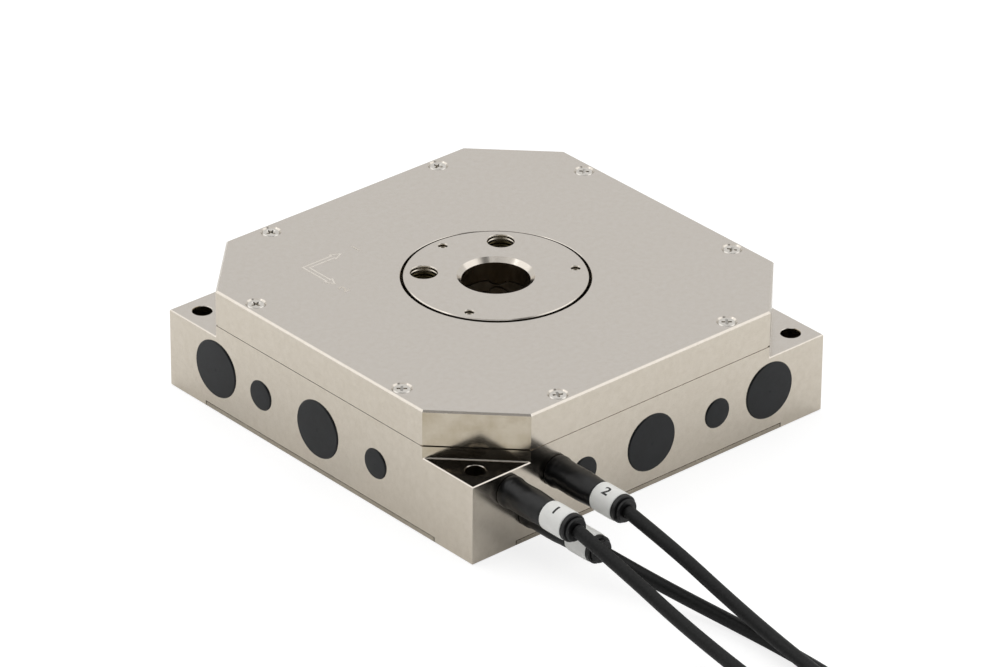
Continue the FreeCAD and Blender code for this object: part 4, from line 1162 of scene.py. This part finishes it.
def make_floor():
    """White paper: it glows a little for what sees or mirrors it, and keeps the object's shadow."""
    deselect()
    bpy.ops.mesh.primitive_plane_add(size=FLOOR_SIZE, location=(0, 0, -FLOOR_DROP))
    floor = bpy.context.object
    floor.name = "studio_floor"
    material, tree = new_material("white_sweep")
    path = add(tree, "ShaderNodeLightPath").outputs
    mirrored = add(
        tree,
        "ShaderNodeMath",
        {0: path["Is Glossy Ray"], 1: path["Is Transmission Ray"]},
        operation="MAXIMUM",
    )
    mirrored = add(
        tree,
        "ShaderNodeMath",
        {0: mirrored.outputs[0], 1: PAPER_GLOW_MIRRORED},
        operation="MULTIPLY",
    )
    level = add(
        tree,
        "ShaderNodeMath",
        {0: path["Is Camera Ray"], 1: PAPER_GLOW_SEEN, 2: mirrored.outputs[0]},
        operation="MULTIPLY_ADD",
    )
    glow = add(tree, "ShaderNodeEmission", {"Strength": level.outputs[0], "Color": "FFFFFF"})
    shade = add(
        tree,
        "ShaderNodeMix",
        {"Factor": path["Is Camera Ray"], "A": PAPER, "B": PAPER_SEEN},
        data_type="FLOAT",
    )
    paper = add(tree, "ShaderNodeBsdfDiffuse", {"Color": shade.outputs[0]})
    both = add(tree, "ShaderNodeAddShader", {0: glow.outputs[0], 1: paper.outputs[0]})
    add(tree, "ShaderNodeOutputMaterial", {"Surface": both.outputs[0]})
    floor.data.materials.append(material)


def make_world():
    """An even pale studio that is dark behind the camera, for what mirrors that side."""
    world = bpy.data.worlds.new("studio")
    bpy.context.scene.world = world
    world.use_nodes = True
    tree = world.node_tree
    tree.nodes.clear()
    place = add(tree, "ShaderNodeTexCoord").outputs["Generated"]
    toward = Vector(
        (
            math.sin(AZIMUTH) * math.cos(DARK_ELEVATION),
            -math.cos(AZIMUTH) * math.cos(DARK_ELEVATION),
            math.sin(DARK_ELEVATION),
        )
    )
    facing = add(
        tree,
        "ShaderNodeVectorMath",
        {0: place, 1: toward},
        operation="DOT_PRODUCT",
    ).outputs["Value"]
    dim = add(
        tree,
        "ShaderNodeMapRange",
        {"Value": facing, "From Min": 0.48, "From Max": 0.66, "To Min": WALL_LEVEL, "To Max": DIM_LEVEL},
        interpolation_type="SMOOTHSTEP",
    )
    dark = add(
        tree,
        "ShaderNodeMapRange",
        {"Value": facing, "From Min": 0.83, "From Max": 0.93, "To Min": 1.0, "To Max": 0.015},
        interpolation_type="SMOOTHSTEP",
    )
    level = add(tree, "ShaderNodeMath", {0: dim.outputs[0], 1: dark.outputs[0]}, operation="MULTIPLY")
    back = add(
        tree,
        "ShaderNodeBackground",
        {"Strength": level.outputs[0], "Color": (1.0, 0.995, 0.985, 1.0)},
    )
    add(tree, "ShaderNodeOutputWorld", {"Surface": back.outputs[0]})


def add_lamp(name, power, size, direction):
    """A square soft box that faces the object."""
    light = bpy.data.lights.new(name, "AREA")
    light.energy = power
    light.size = size
    lamp = bpy.data.objects.new(name, light)
    lamp.location = TARGET + Vector(direction).normalized() * LAMP_DISTANCE
    lamp.rotation_euler = (TARGET - lamp.location).to_track_quat("-Z", "Y").to_euler()
    bpy.context.scene.collection.objects.link(lamp)


def make_camera():
    """The photograph's viewpoint, from the azimuth, elevation and roll about the target."""
    a, e = AZIMUTH, ELEVATION
    back = Vector((math.sin(a) * math.cos(e), -math.cos(a) * math.cos(e), math.sin(e)))
    right = Vector((math.cos(a), math.sin(a), 0))
    up = back.cross(right)
    turned_right = math.cos(ROLL) * right + math.sin(ROLL) * up
    turned_up = math.cos(ROLL) * up - math.sin(ROLL) * right
    data = bpy.data.cameras.new("camera")
    data.lens = LENS
    data.sensor_width = SENSOR
    data.clip_start = 0.01
    data.clip_end = 20
    camera = bpy.data.objects.new("camera", data)
    axes = Matrix((turned_right, turned_up, back)).transposed().to_4x4()
    camera.matrix_world = Matrix.Translation(TARGET + back * DISTANCE) @ axes
    bpy.context.scene.collection.objects.link(camera)
    bpy.context.scene.camera = camera


def main():
    bpy.context.scene.view_settings.view_transform = "Standard"
    make_camera()
    made = make_materials()
    cables = {name: make_cable(name, made) for name in ROUTES}
    dress_nodes(made)
    on_cables = make_boots(made) + make_markers(made)
    on_cables += [nodes["cable_collars"]] + make_ties(made)
    connectors = make_connectors(made)
    make_axes_mark(made)
    make_floor()
    make_world()
    for name, lamp in LAMPS.items():
        add_lamp(name, *lamp)


main()
